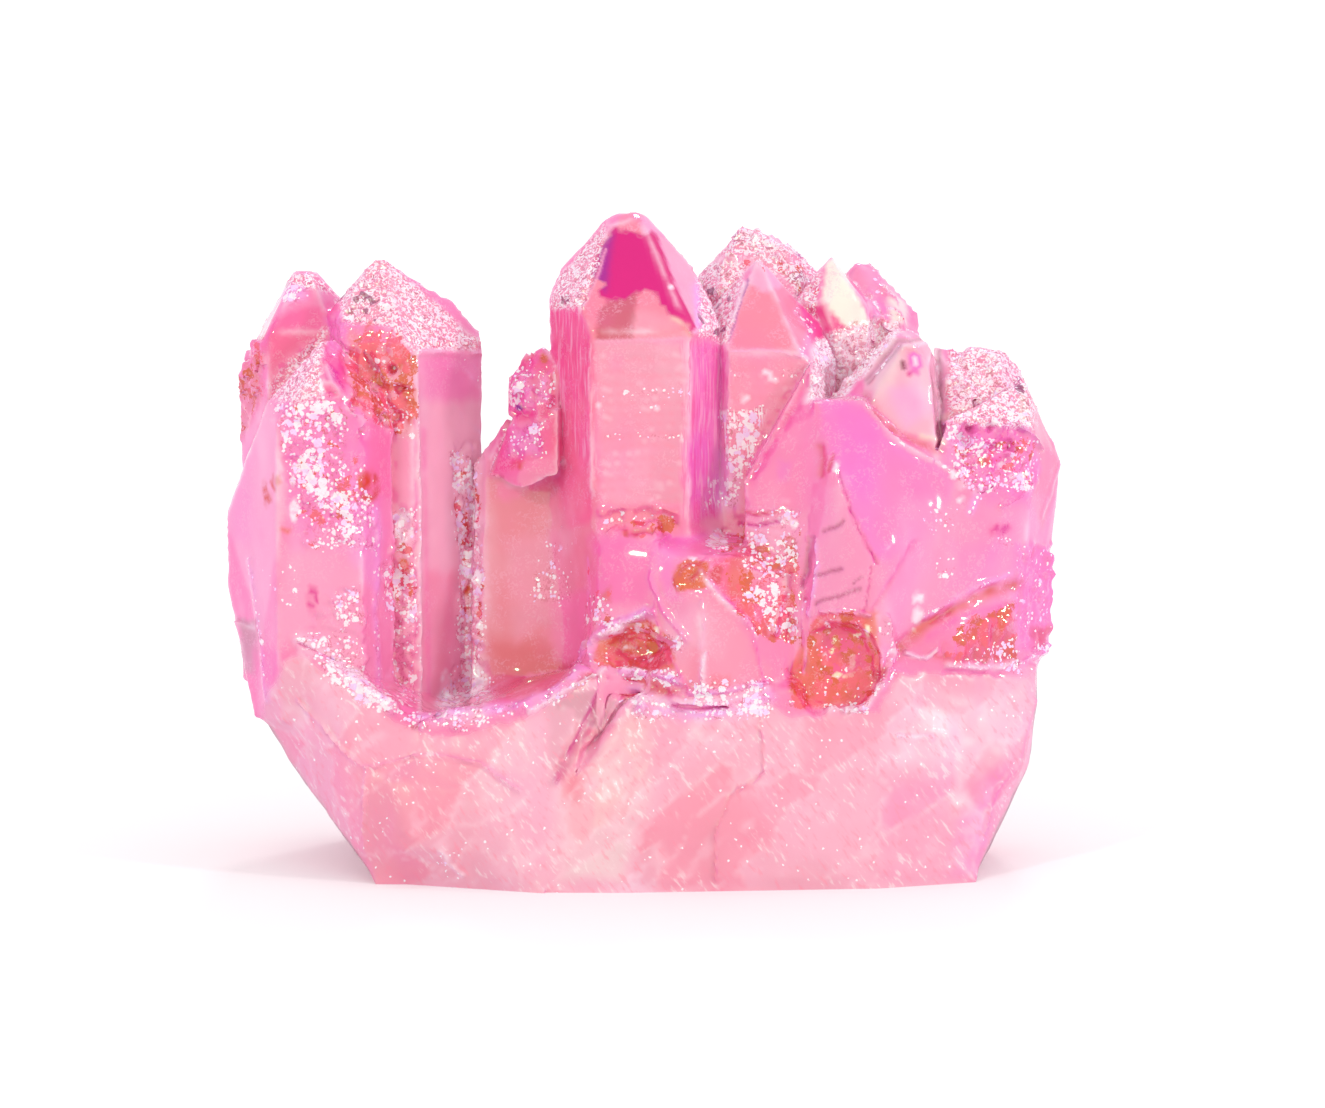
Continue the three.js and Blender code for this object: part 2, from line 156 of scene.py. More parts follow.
def away(spots, line, closed=False):
    """How far spots are from a line."""
    least = np.full(len(spots), 1e9)
    for a, b in stretches(line, closed):
        span = b - a
        t = np.clip((spots - a) @ span / max(span @ span, 1e-9), 0, 1)
        least = np.minimum(least, np.linalg.norm(spots - a - t[:, None] * span, axis=1))
    return least


def within(spots, outline, soft):
    """1 inside an outline and 0 outside, with an edge this soft."""
    inside = np.zeros(len(spots), bool)
    for a, b in stretches(outline, True):
        rises = (a[1] > spots[:, 1]) != (b[1] > spots[:, 1])
        slope = (b[0] - a[0]) / ((b[1] - a[1]) or 1e-9)
        inside ^= rises & (spots[:, 0] < a[0] + slope * (spots[:, 1] - a[1]))
    gap = away(spots, outline, True)
    return smooth(np.where(inside, gap, -gap), -soft, soft)


def oval(spots, middle, reach, soft=0.25):
    """1 in an oval and 0 outside it."""
    far = np.hypot((spots[:, 0] - middle[0]) / reach[0], (spots[:, 1] - middle[1]) / reach[1])
    return 1 - smooth(far, 1 - soft, 1 + soft)


def stroke(spots, line, width):
    """1 along a line, fading to 0 on both sides."""
    return np.exp(-((away(spots, line) / width) ** 2))


# ---------------- tables of marks


def places(text):
    """Places, written as numbers with commas between them and parted by spaces."""
    return [tuple(float(n) for n in place.split(",")) for place in text.split()]


def rows(text):
    """The rows of a table: what stands before the colon, and the places after it, in pixels of the
    frame. A line that is set in carries on the one above, and # starts a heading."""
    lines = [line for line in text.replace("\n  ", " ").strip().split("\n") if line[0] != "#"]
    return [(head, places(tail)) for head, tail in (line.split(":") for line in lines)]


def column(text):
    """The number that a column holds, or its text."""
    return float(text) if text.lstrip("-").replace(".", "").isdigit() else text


def table(text):
    """The rows of a table: each one's columns, parted by blanks, and its places."""
    return [(*map(column, head.split()), spots) for head, spots in rows(text)]


# ---------------- where the surface is rough
# sugary: tips covered with fine grains.  lumpy: wet-looking bumps and hollows.
# rippled: fine level ledges across a prism face.  striped: upright streaks on one.
# rounded: smooth lumps without sharp edges.

SUGARY = dict(rows("""
big left crystal, right cap: 380,254 482,343 484,350 415,350
big left crystal, left cap: 380,254 338,292 345,325 372,322 394,330 415,350
low left crystal, cap: 325,326 268,385 280,402 320,400
back left crystal, rim: 250,312 280,270 314,270 338,294 318,290 284,284 266,316
middle crystal, left cap: 603,226 556,280 550,308 582,310 600,262
second crystal, left cap: 698,268 746,260 728,342 698,338
rough back crystal: 696,258 745,223 822,260 816,318 786,276 750,256
window crystal, left cap: 815,342 832,333 852,322 904,320 896,337 858,378 848,394 806,402
last crystal, cap: 948,350 1026,346 1036,430 1000,428 948,424
"""))
LUMPY = dict(rows("""
right column: 1018,542 1056,542 1056,655 1020,655
stub's slab: 508,425 545,425 545,455 500,458
stub: 504,410 508,368 540,350 556,372 550,420 512,418
low left crystal, top: 325,326 345,312 346,356 324,362
low left crystal, front: 274,404 330,396 346,420 356,548 300,552 284,470
low left crystal, side: 346,470 372,500 376,552 352,552
low left crystal, foot: 322,590 362,585 374,692 340,672 300,646
back left crystal, left strip: 226,470 236,380 254,330 264,345 262,398 240,440
big left crystal, high up: 345,326 394,328 415,352 416,424 396,436 346,402
big left crystal, ridge: 396,512 418,506 418,700 398,700 384,560
big left crystal, stripe: 450,440 476,440 482,600 486,716 466,700 456,560
big left crystal, foot: 456,655 462,720 434,722
middle crystal, foot: 600,512 640,505 680,512 676,534 610,536
last crystal, shoulder: 940,424 1036,430 1040,486 990,500 952,466
broken feet: 736,506 812,512 808,640 764,644 720,600 712,560
orange patch: 672,580 688,552 712,552 708,592 680,594
cave: 590,660 600,632 646,612 676,634 672,668 622,664
below the cave: 616,668 676,668 690,712 630,712
bowl: 808,612 880,612 884,690 846,716 796,708 786,670
right hollow: 940,640 990,612 1020,600 1018,664 946,664
"""))
RIPPLED = dict(rows("""
middle crystal, front: 594,350 690,350 680,505 602,505
second crystal, front: 728,356 806,362 756,456 730,520
broken feet: 736,500 790,500 780,540 738,540
"""))
STRIPED = dict(rows("""
middle crystal, left: 552,310 584,310 596,360 596,470 560,440
middle crystal, right: 682,340 722,340 716,520 682,520
second crystal, dashes: 722,412 766,408 756,470 730,480
second crystal, left: 694,340 730,345 726,480 694,470
"""))
ROUNDED = dict(rows("""
smooth body: 800,405 864,398 886,437 960,470 935,560 900,612 866,616 806,612
gap wall: 486,470 600,500 600,620 560,690 490,690
middle foot: 588,536 700,536 700,612 588,612
cave and cleft: 560,650 684,650 690,716 600,800 540,800
right hollow: 890,580 1030,560 1030,680 890,680
broken feet: 700,500 812,500 806,650 700,610
low left crystal: 284,400 346,400 384,440 368,552 290,552
behind the window: 866,256 930,256 930,330 876,330
beside the body: 745,440 812,440 812,520 750,520
middle ledge: 640,690 764,690 764,718 640,718
"""))

# lines on the front: width in pixels, height in millimetres, colour, how strong; the white and
# violet ones along edges, rims and ledges are painted highlights and reflections
# cleft and the block; the deep line down the cleft is painted shade in its groove
LINES = table("""
# coat's lower edge
6 0.4 white 0.8: 300,640 330,654 352,676 372,696 392,708
6 0.5 magenta 0.6: 392,712 412,724 440,728 470,728 500,720 530,710
6 0.5 violet 0.75: 420,720 460,716 490,712 520,708 548,698 574,676 590,656
2 0.3 white 0.8: 530,714 552,702 578,684 604,666
# ledges in the middle
5 0.25 white 0.9: 622,694 650,700 690,705 740,698 768,688
7 0.2 violet 0.9: 640,708 690,714 740,708 768,698
3 0.4 violet 0.8: 690,694 730,690 766,682
4 0.5 violet 0.9: 622,670 640,672 660,676 680,682
2 0.3 white 0.9: 624,668 646,669
4 -0.2 red 0.9: 624,684 650,686 672,692
# rims of the cave and the bowl
4 0.5 violet 0.85: 586,652 592,640 600,632 622,622 646,612 654,613
1.8 0.3 white 0.9: 600,636 622,626 644,614
3.5 0.4 white 0.85: 830,712 848,712 866,706 882,684
1.8 0.3 pale 0.8: 822,612 845,612 870,616
3 0.4 pale 0.7: 886,618 892,650 884,680
# coat's edge on the right
3 0.4 white 0.9: 948,666 976,668 1000,667 1016,660
2.5 -0.1 magenta 0.8: 945,674 975,674 1000,674
3 0.3 violet 0.7: 1020,662 1036,656 1048,645
2 0.3 white 0.85: 905,653 914,658 926,659 937,650
# middle crystal
4 0.3 rose 0.5: 602,513 620,507 650,505 676,513
2.5 -0.2 red 0.8: 632,530 655,529 676,526
1.6 0.05 pale 0.8: 597,341 640,340 692,338
1.6 0.1 pale 0.8: 606,250 596,280 584,307
1 -0.05 dark 0.6: 600,262 592,286 582,307
# second crystal
1.8 0.1 pale 0.9: 729,353 757,350 780,353 802,357
1.2 -0.1 plum 0.6: 747,280 738,312 729,340
1.2 0.1 white 0.8: 744,282 734,318
# big left crystal
2.5 0.15 pale 0.8: 418,353 450,353 482,354
1.5 -0.1 rose 0.6: 430,346 455,345 480,347
2 0.1 pale 0.5: 484,358 486,500 482,600
# smooth body
2.2 0.25 violet 0.95: 815,540 817,566 813,590 808,612
2.2 -0.3 wine 0.6: 813,538 809,560 804,584
2 -0.12 dark 0.7: 823,532 834,528 843,521
2 -0.12 dark 0.7: 817,576 830,572 842,569
2 -0.12 dark 0.7: 815,603 838,597 860,589
1.1 -0.1 dark 0.6: 853,583 863,576
1.8 -0.15 deep 0.7: 838,470 844,492 856,526 878,564
1.4 -0.12 deep 0.7: 872,567 868,590 865,612
2.4 -0.12 deep 0.55: 915,542 895,576 872,612
2.2 0.15 white 0.8: 896,440 925,456 946,468 954,476
# window crystal
2.2 -0.1 umber 0.8: 866,380 897,341 938,337 942,410 938,432
2 0.1 white 0.6: 874,376 900,346 934,343 937,410
2 0.1 white 0.9: 894,338 864,374
2 -0.1 umber 0.7: 887,332 856,370
1.8 -0.1 umber 0.6: 901,345 868,384
2.2 0.3 white 0.9: 864,400 874,414 890,437 912,452 932,462
4 -0.25 red 0.9: 866,398 884,424 906,438 940,450
3 0.1 yellow 0.9: 922,436 944,442
3 0 rose 0.8: 949,340 950,380 947,415
# band on the right
6 -0.4 orange 0.95: 1018,584 990,592 958,608 930,622 900,646
4.5 -0.1 magenta 0.9: 1018,606 985,610 960,618 930,636
3 0.2 violet 0.5: 1010,574 965,592 925,618
# beside the middle crystal's cap
2.4 0.05 yellow 0.9: 673,318 688,326
2.6 0 orange 0.95: 684,328 692,335
2.6 0.3 white 0.95: 701,572 708,584 722,600 752,628 757,636
# last crystal
2.4 0.4 magenta 0.8: 944,425 956,420 972,424 984,430
2.2 0.4 plum 0.5: 1004,428 1016,426 1034,436 1040,448
2.2 0.4 magenta 0.7: 966,452 980,446 996,440 1006,430
2.2 0.3 deep 0.5: 1000,506 1020,494 1030,484
4 0.2 violet 0.7: 968,512 976,496 986,482
1.6 0.1 pale 0.6: 1034,384 1060,462 1042,516
# cleft and the block
2.5 -0.2 deep 0.75: 606,676 592,712 556,782
3.5 0.2 rose 0.7: 622,690 606,720 580,752 570,790
2.2 0.2 white 0.9: 440,852 450,862 462,876
2.2 0.2 white 0.9: 898,736 914,738 932,737
2.5 0.2 magenta 0.4: 1034,700 1014,770 996,790 985,830
2.2 0.25 pale 0.5: 300,700 345,752 366,770 364,850
2.2 0.2 pale 0.4: 366,768 430,756 480,764 520,792
1.8 0.2 rose 0.45: 715,880 716,830 730,795 764,772 760,712
# left crystals
3 0.2 violet 0.4: 250,560 262,640 268,700
3 0.15 violet 0.6: 376,510 378,560 374,610 380,700
1.8 0.15 white 0.5: 416,352 419,500 420,712
3 0 magenta 0.5: 424,430 426,560 428,700
# small crystal in the middle
1.8 0.3 white 0.9: 705,652 702,672 704,690
1.8 0.15 magenta 0.6: 654,600 662,640 690,690
2 0.15 pale 0.7: 700,600 704,620 702,650
2 0.15 magenta 0.7: 724,596 752,632 764,690
3 0.3 orchid 0.8: 668,536 655,545 652,580 664,612 688,640
# band beside the second crystal
8 -0.2 hot 0.85: 812,364 800,392 782,424 766,448 748,478
2 0.1 pale 0.5: 806,368 790,400 770,430 752,462
4 0 violet 0.4: 797,312 812,326 802,352
# strokes and flecks
1.8 0.2 red 0.7: 744,512 760,514 778,512
1.8 -0.2 deep 0.6: 740,524 757,526 780,520
2 0.2 pale 0.7: 748,570 765,574 780,574
4.5 0.3 cream 0.75: 788,566 786,590 778,612 772,630
4 -0.15 red 0.9: 820,446 823,460 821,474
2 -0.1 red 0.8: 833,454 828,470
""")
# glints and spots: their middles, half widths and half heights; the white and yellow ones are
# painted highlights
SPECKS = dict(rows("""
amber: 370,486,10,17 518,466,6,5 370,328,5,7 404,360,10,12 411,405,5,18 404,568,6,10 466,528,4,8
  468,590,3,5 545,359,4,5 788,545,9,9 264,487,3,8 275,484,4,9 268,500,3,8 286,530,7,3 296,406,5,6
yellow: 836,638,4,5 831,646,3,4 851,660,4,9 850,675,7,4 836,674,5,3 868,632,2.5,6 656,630,3,4
  857,633,4,2.5
white: 916,596,8,6 917,617,6,9 915,632,3,3 630,646,8,3 638,627,4,2.5 652,656,2.5,5 624,664,4,3
  824,656,2.5,7 828,627,2.5,4 758,735,3,3 968,818,3,4 835,466,3,6 953,474,4,4 696,808,3,2
  805,358,4,3 768,372,4,3 775,378,4,2.5 745,399,4,3 791,376,3,2 672,286,2.5,2.5 890,650,3,3
  404,526,9,14 408,540,6,16 336,664,9,7 350,674,11,8 358,686,6,10 380,700,8,7 292,480,3,8
  294,510,4,12 478,680,6,12 474,668,5,6 448,704,12,14 446,684,6,14 692,555,4,3 716,541,9,6
  784,519,6,4 793,524,5,4 300,468,9,4 340,494,6,3 333,502,4,8 1004,466,7,4 1018,476,8,4 960,500,3,3
  658,410,3,2 600,405,2.5,2.5
plum: 732,234,6,4 800,254,5,4 520,408,5,3 1018,386,4,9
wine: 795,278,7,8 904,366,4,5 566,300,3,5 352,312,3,3 364,300,3,3
deep: 1000,530,13,7 335,378,10,15 312,600,5,14 914,372,6,3
red: 724,240,8,3 630,534,8,4 262,332,4,8 985,462,8,4 1000,655,14,5 768,630,9,8 716,575,8,10
  880,674,6,9
"""))


def waver(points, spots, reach=4.0):
    """The spots moved a little, so that what is marked out on them gets a natural edge."""
    coarse = np.stack([clouds(points, 2.2, 200 + n, 2) for n in range(2)], axis=1)
    fine = np.stack([clouds(points, 0.7, 210 + n, 2) for n in range(2)], axis=1)
    return spots + reach * (coarse + 0.6 * fine)


def rough(spots, outlines, soft=3.0):
    """How much of a kind of roughness there is at spots of the front, from 0 to 1."""
    return np.max([within(spots, outline, soft) for outline in outlines.values()], axis=0)


def lined(spots):
    """1 on the fine lines and 0 away from them."""
    return np.max([stroke(spots, pixels, width + 3) for width, *_, pixels in LINES], axis=0)


# ---------------- cutting the surface up

FINEST, FINE, PLAIN, UNDER = 0.21, 0.32, 0.66, 3.2  # edge lengths, the last on the underside
LONG = 1.4  # an edge is cut where it is this much longer than wanted
LOW = 0.02  # a point below this height lies on the underside
SAME = 0.03  # corners nearer than this are one
FLAT = math.radians(0.6)
SHARP = math.radians(24)


def seen(points, tree, slack=0.4):
    """True where nothing stands between a point and the eye."""
    eye = Vector(EYE)
    shown = np.zeros(len(points), bool)
    for n, point in enumerate(points):
        way = Vector(point) - eye
        shown[n] = tree.ray_cast(eye, way, way.length - slack)[0] is None
    return shown


def wanted(points, tree):
    """The edge length that the surface needs at these points."""
    size = np.where(seen(points, tree), FINE, PLAIN)
    near = np.flatnonzero(size == FINE)
    spots = to_frame(points[near])
    detail = np.maximum(np.maximum(rough(spots, SUGARY), rough(spots, LUMPY)), lined(spots))
    size[near[detail > 0.3]] = FINEST
    return np.where(points[:, 2] < LOW, UNDER, size)


def cut_edges(body, tree):
    """The points along every edge, spaced as the surface there needs, by the edge's ends."""
    pieces = np.array([(*e.verts[0].co, *e.verts[1].co, e.index, 0, 1) for e in body.edges])
    done = []
    while len(pieces):
        a, b, start, stop = pieces[:, :3], pieces[:, 3:6], pieces[:, 7], pieces[:, 8]
        length = np.linalg.norm(b - a, axis=1) * (stop - start)
        middle = a + (b - a) * ((start + stop) / 2)[:, None]
        size = np.full(len(pieces), FINEST)
        far = np.flatnonzero(length > LONG * FINEST)
        size[far] = wanted(middle[far], tree)
        long = length > LONG * size
        done.append(pieces[~long])
        first, second = pieces[long].copy(), pieces[long].copy()
        first[:, 8] = second[:, 7] = (start[long] + stop[long]) / 2
        pieces = np.concatenate((first, second))
    done = np.concatenate(done)
    order = np.lexsort((done[:, 7], done[:, 6]))
    return done[order]


def lattice(flat, size):
    """Points of a triangular net over a flat outline, and how coarse a net each still fits."""
    low, high = flat.min(axis=0), flat.max(axis=0)
    rise = size * math.sqrt(3) / 2
    up = np.arange(int((high[1] - low[1]) / rise) + 2)
    across = np.arange(-len(up), int((high[0] - low[0]) / size) + 2)
    i, j = np.meshgrid(across, up)
    i, j = i.ravel(), j.ravel()
    points = np.stack((low[0] + size * (i + j / 2), low[1] + rise * j), axis=1)
    fits = np.zeros(len(i), int)
    for level in (1, 2, 3):
        fits[(i % 2**level == 0) & (j % 2**level == 0)] = level
    inside = (points[:, 0] > low[0]) & (points[:, 0] < high[0]) & (points[:, 1] < high[1])
    return points[inside], fits[inside]


def fill(corners, normal, tree):
    """Triangles over a flat face: new points inside it, and corners of triangles by number."""
    middle = corners.mean(axis=0)
    side = np.cross(normal, (0.3, 0.5, 0.8))
    side /= np.linalg.norm(side)
    axes = np.stack((side, np.cross(normal, side)))
    flat = (corners - middle) @ axes.T
    inner = np.zeros((0, 2))
    if len(corners) > 3:
        size = UNDER if corners[:, 2].max() < LOW else FINEST
        net, fits = lattice(flat, size)
        if len(net):
            inside = within(net, [tuple(p) for p in flat], 1e-6) > 0.5
            net, fits = net[inside], fits[inside]
        if len(net):
            need = wanted(middle + net @ axes, tree)
            step = size * 2.0**fits
            keep = (step > 0.72 * need) & (away(net, [tuple(p) for p in flat], True) > 0.5 * need)
            inner = net[keep]
    points = [Vector(p) for p in np.concatenate((flat, inner))]
    outline = [list(range(len(flat)))]
    made, _, faces, source, _, _ = delaunay_2d_cdt(points, [], outline, 1, 1e-5)
    return middle + inner @ axes, made, faces, source


def surface_of(node):
    """The node's surface in small triangles: the points, three of them to a triangle, and the
    points that lie on outward edges."""
    body = bmesh.new()
    body.from_mesh(node.data)
    bmesh.ops.scale(body, vec=(1 / MM,) * 3, verts=body.verts)
    bmesh.ops.remove_doubles(body, verts=body.verts, dist=SAME)
    tree = BVHTree.FromBMesh(body)
    bmesh.ops.dissolve_limit(
        body, angle_limit=FLAT, use_dissolve_boundaries=False, verts=body.verts,
        edges=body.edges,
    )
    body.edges.index_update()
    body.verts.index_update()
    points = [np.array(vert.co) for vert in body.verts]
    chain = {}
    for row in cut_edges(body, tree):
        ids = chain.setdefault(int(row[6]), [])
        if row[7] > 0:
            ids.append(len(points))
            points.append(row[:3] + (row[3:6] - row[:3]) * row[7])
    outward = set()
    for edge in body.edges:
        if edge.is_manifold and edge.calc_face_angle_signed() > SHARP:
            outward.update(chain[edge.index], (edge.verts[0].index, edge.verts[1].index))
    triangles = []
    for face in body.faces:
        ring = []
        for loop in face.loops:
            ids = chain[loop.edge.index]
            ring += [loop.vert.index, *(ids if loop.edge.verts[0] == loop.vert else ids[::-1])]
        corners = np.array([points[n] for n in ring])
        inner, _, faces, source = fill(corners, np.array(face.normal), tree)
        number = ring + list(range(len(points), len(points) + len(inner)))
        points += list(inner)
        triangles += [[number[source[n][0]] for n in corner] for corner in faces]
    body.free()
    return np.array(points), np.array(triangles), tree, sorted(outward)


def normals_of(points, triangles):
    """The way the surface faces at each point."""
    a, b, c = (points[triangles[:, n]] for n in range(3))
    face = np.cross(b - a, c - a)
    normal = np.zeros_like(points)
    for n in range(3):
        np.add.at(normal, triangles[:, n], face)
    return normal / np.maximum(np.linalg.norm(normal, axis=1), 1e-12)[:, None]


def gap_to(points, chosen):
    """How far each point is from the nearest of the chosen ones."""
    near = KDTree(len(chosen))
    for n in chosen:
        near.insert(points[n], n)
    near.balance()
    return np.array([near.find(point)[2] for point in points])


points, triangles, tree, outward = surface_of(frame["nodes"]["quartz_cluster"])
edge_gap = gap_to(points, outward)
normals = normals_of(points, triangles)
spots = to_frame(points)
shown = seen(points + 0.05 * normals, tree, 0.2)
front = shown * smooth(normals @ BACK, -0.1, 0.15)

# ---------------- relief

on = np.flatnonzero(front > 0.02)  # the points that the front view reaches
marked = waver(points[on], spots[on])
crisp = waver(points[on], spots[on], 1.2)
flecked = waver(points[on], spots[on], 2.4)


def on_front(values):
    """Values at the front's points, spread to all points and faded off where it turns away."""
    full = np.zeros(len(points))
    full[on] = values
    return full * front


sugar = on_front(rough(marked, SUGARY))
lump = on_front(rough(marked, LUMPY))
ripple = on_front(rough(marked, RIPPLED))
stripe = on_front(rough(marked, STRIPED))

# out of view, the caps and flanks are sugary and lumpy in patches
behind = 1 - np.clip(front, 0, 1)
high = smooth(points[:, 2], 15, 20)
cap = smooth(normals[:, 2], 0.25, 0.5) * smooth(points[:, 2], 28, 34)
sugar = np.maximum(sugar, behind * cap * smooth(clouds(points, 9, 40), -0.3, 0.1))
flank = high * (1 - cap)
lump = np.maximum(lump, behind * flank * smooth(clouds(points, 9, 50), 0.1, 0.35))
ripple = np.maximum(ripple, behind * flank * smooth(clouds(points, 12, 60), -0.2, 0.2))

# hollows shallower than the solid's: filled forward to this depth, and this much of the way
SHALLOW = table("""
cleft -11.7 0.92: 578,670 600,664 655,666 652,702 612,742 582,734
bowl -12.6 0.6: 800,606 884,606 890,690 860,718 800,716 784,672
cave -10.8 0.4: 590,632 650,606 684,640 680,674 590,668
slit -13.3 0.95: 660,697 740,697 740,713 660,713
""")
SHALLOW_BACK = -3.0  # nothing behind this depth is filled
# the bare block under the crystals
BLOCK = places("""
    262,706 284,664 300,656 340,682 365,702 396,722 430,734 470,736 520,722 550,708 575,690
    600,672 622,699 700,709 770,700 790,718 880,712 900,670 940,676 1030,676 1060,652 1060,920
    230,920
""")
coat_edge = 14.5 + 3 * clouds(points, 11, 120) + 0.9 * clouds(points, 2, 125, 2)
back_matrix = 1 - smooth(points[:, 2], coat_edge - 0.5, coat_edge + 0.5)
matrix = back_matrix * behind + on_front(within(marked, BLOCK, 4))


def worn_down(points, amount, turns):
    """The points after rubbing down: each moves towards its neighbours, as often as turns."""
    ends = np.concatenate([triangles[:, (n, (n + 1) % 3)] for n in range(3)])
    ends = np.concatenate((ends, ends[:, ::-1]))
    count = np.bincount(ends[:, 0], minlength=len(points))
    for _ in range(turns):
        middle = np.stack([
            np.bincount(ends[:, 0], points[ends[:, 1], axis], len(points)) for axis in range(3)
        ], axis=1) / count[:, None]
        points = points + amount[:, None] * (middle - points)
    return points


filled = np.zeros(len(points))
shallow = points.copy()
for _, floor_y, much, outline in SHALLOW:
    inside = within(spots, outline, 6) * (points[:, 1] > floor_y) * (points[:, 1] < SHALLOW_BACK)
    shallow[:, 1] += much * inside * (floor_y - points[:, 1])
    filled = np.maximum(filled, inside)

# edges are a little rounded everywhere, and the smooth lumps and the block much more
bottom = smooth(points[:, 2], 0.05, 1.2)
rounded = on_front(rough(marked, ROUNDED, 8))
smoothed = np.maximum.reduce((rounded, 0.8 * matrix, filled))
base_points = worn_down(shallow, bottom * 0.5, 2)
base_points = worn_down(base_points, bottom * 0.5 * smoothed, 60)

lift = 0.12 * clouds(points, 5.0, 1) + 0.05 * clouds(points, 1.6, 5)
near, _, which = grains(points, 0.5, 11)
lift += sugar * (0.22 * (0.45 - near) + 0.14 * (which - 0.5))
hollows = {name: LUMPY[name] for name in ("bowl", "cave", "broken feet")}
broken = on_front(rough(marked, hollows))
lump -= 0.45 * broken * lump
swell = clouds(points, 1.3, 21, 2)
lift += lump * (0.34 * swell + 0.4 * np.abs(clouds(points, 1.1, 25, 2)) - 0.1)
lift += lump * 0.16 * clouds(points, 0.62, 33, 1)
lift += 0.1 * stripe * clouds(points / (0.35, 0.35, 4), 1, 75, 2)
lift += broken * 0.3 * clouds(points, 2.6, 36, 2)
level = points[:, 2] / 0.9 + 0.7 * clouds(points * (1, 1, 3), 4, 70)
ledge = np.abs(2 * (level % 1) - 1)
lift += ripple * 0.08 * (ledge - 0.5)
# the block under the crystals breaks in shallow hollows and ridges
lift += matrix * (0.35 * np.abs(clouds(points, 6, 300, 2)) + 0.14 * clouds(points, 2.0, 305, 3))
uneven = 1 + 0.6 * cloud(points, 0.9, 80)
line_near = [on_front(stroke(crisp, pixels, width)) for width, *_, pixels in LINES]
for near, (_, height, *_) in zip(line_near, LINES):
    lift += height * near * uneven
moved = base_points + normals_of(base_points, triangles) * (lift * bottom)[:, None]
moved[:, 2] = np.maximum(moved[:, 2], 0)

# ---------------- colours of the coat, with highlights, reflections and shade painted into them


def linear(colour):
    """A screen colour, 0 to 255, as the shader's linear one."""
    c = np.array(colour) / 255
    return np.where(c < 0.04045, c / 12.92, ((c + 0.055) / 1.055) ** 2.4)


COLOURS = {name: linear(value) for name, (value,) in rows("""
pink: 252,130,182
pale: 251,172,204
milky: 250,184,206
magenta: 250,100,180
deep: 226,40,150
plum: 150,30,150
orange: 226,84,52
red: 226,62,96
wine: 150,36,92
stain: 214,0,124
snow: 255,222,228
umber: 170,100,116
brown: 240,140,158
violet: 240,170,244
lilac: 250,206,250
yellow: 252,250,205
white: 255,238,246
dark: 190,60,120
cream: 240,214,212
grey: 214,150,168
dusky: 238,158,180
orchid: 250,122,200
rose: 240,120,150
coral: 248,132,160
dusk: 204,70,106
blush: 246,178,198
salmon: 248,150,178
rosy: 251,132,164
hot: 246,70,150
hotter: 248,92,148
purple: 240,90,205
candy: 252,152,196
lemon: 255,255,232
amber: 222,74,46
ember: 232,88,78
crimson: 246,80,112
""")}
RICHER = (1.0, 0.84, 0.92)  # the whole coat a little deeper than the colours laid on it
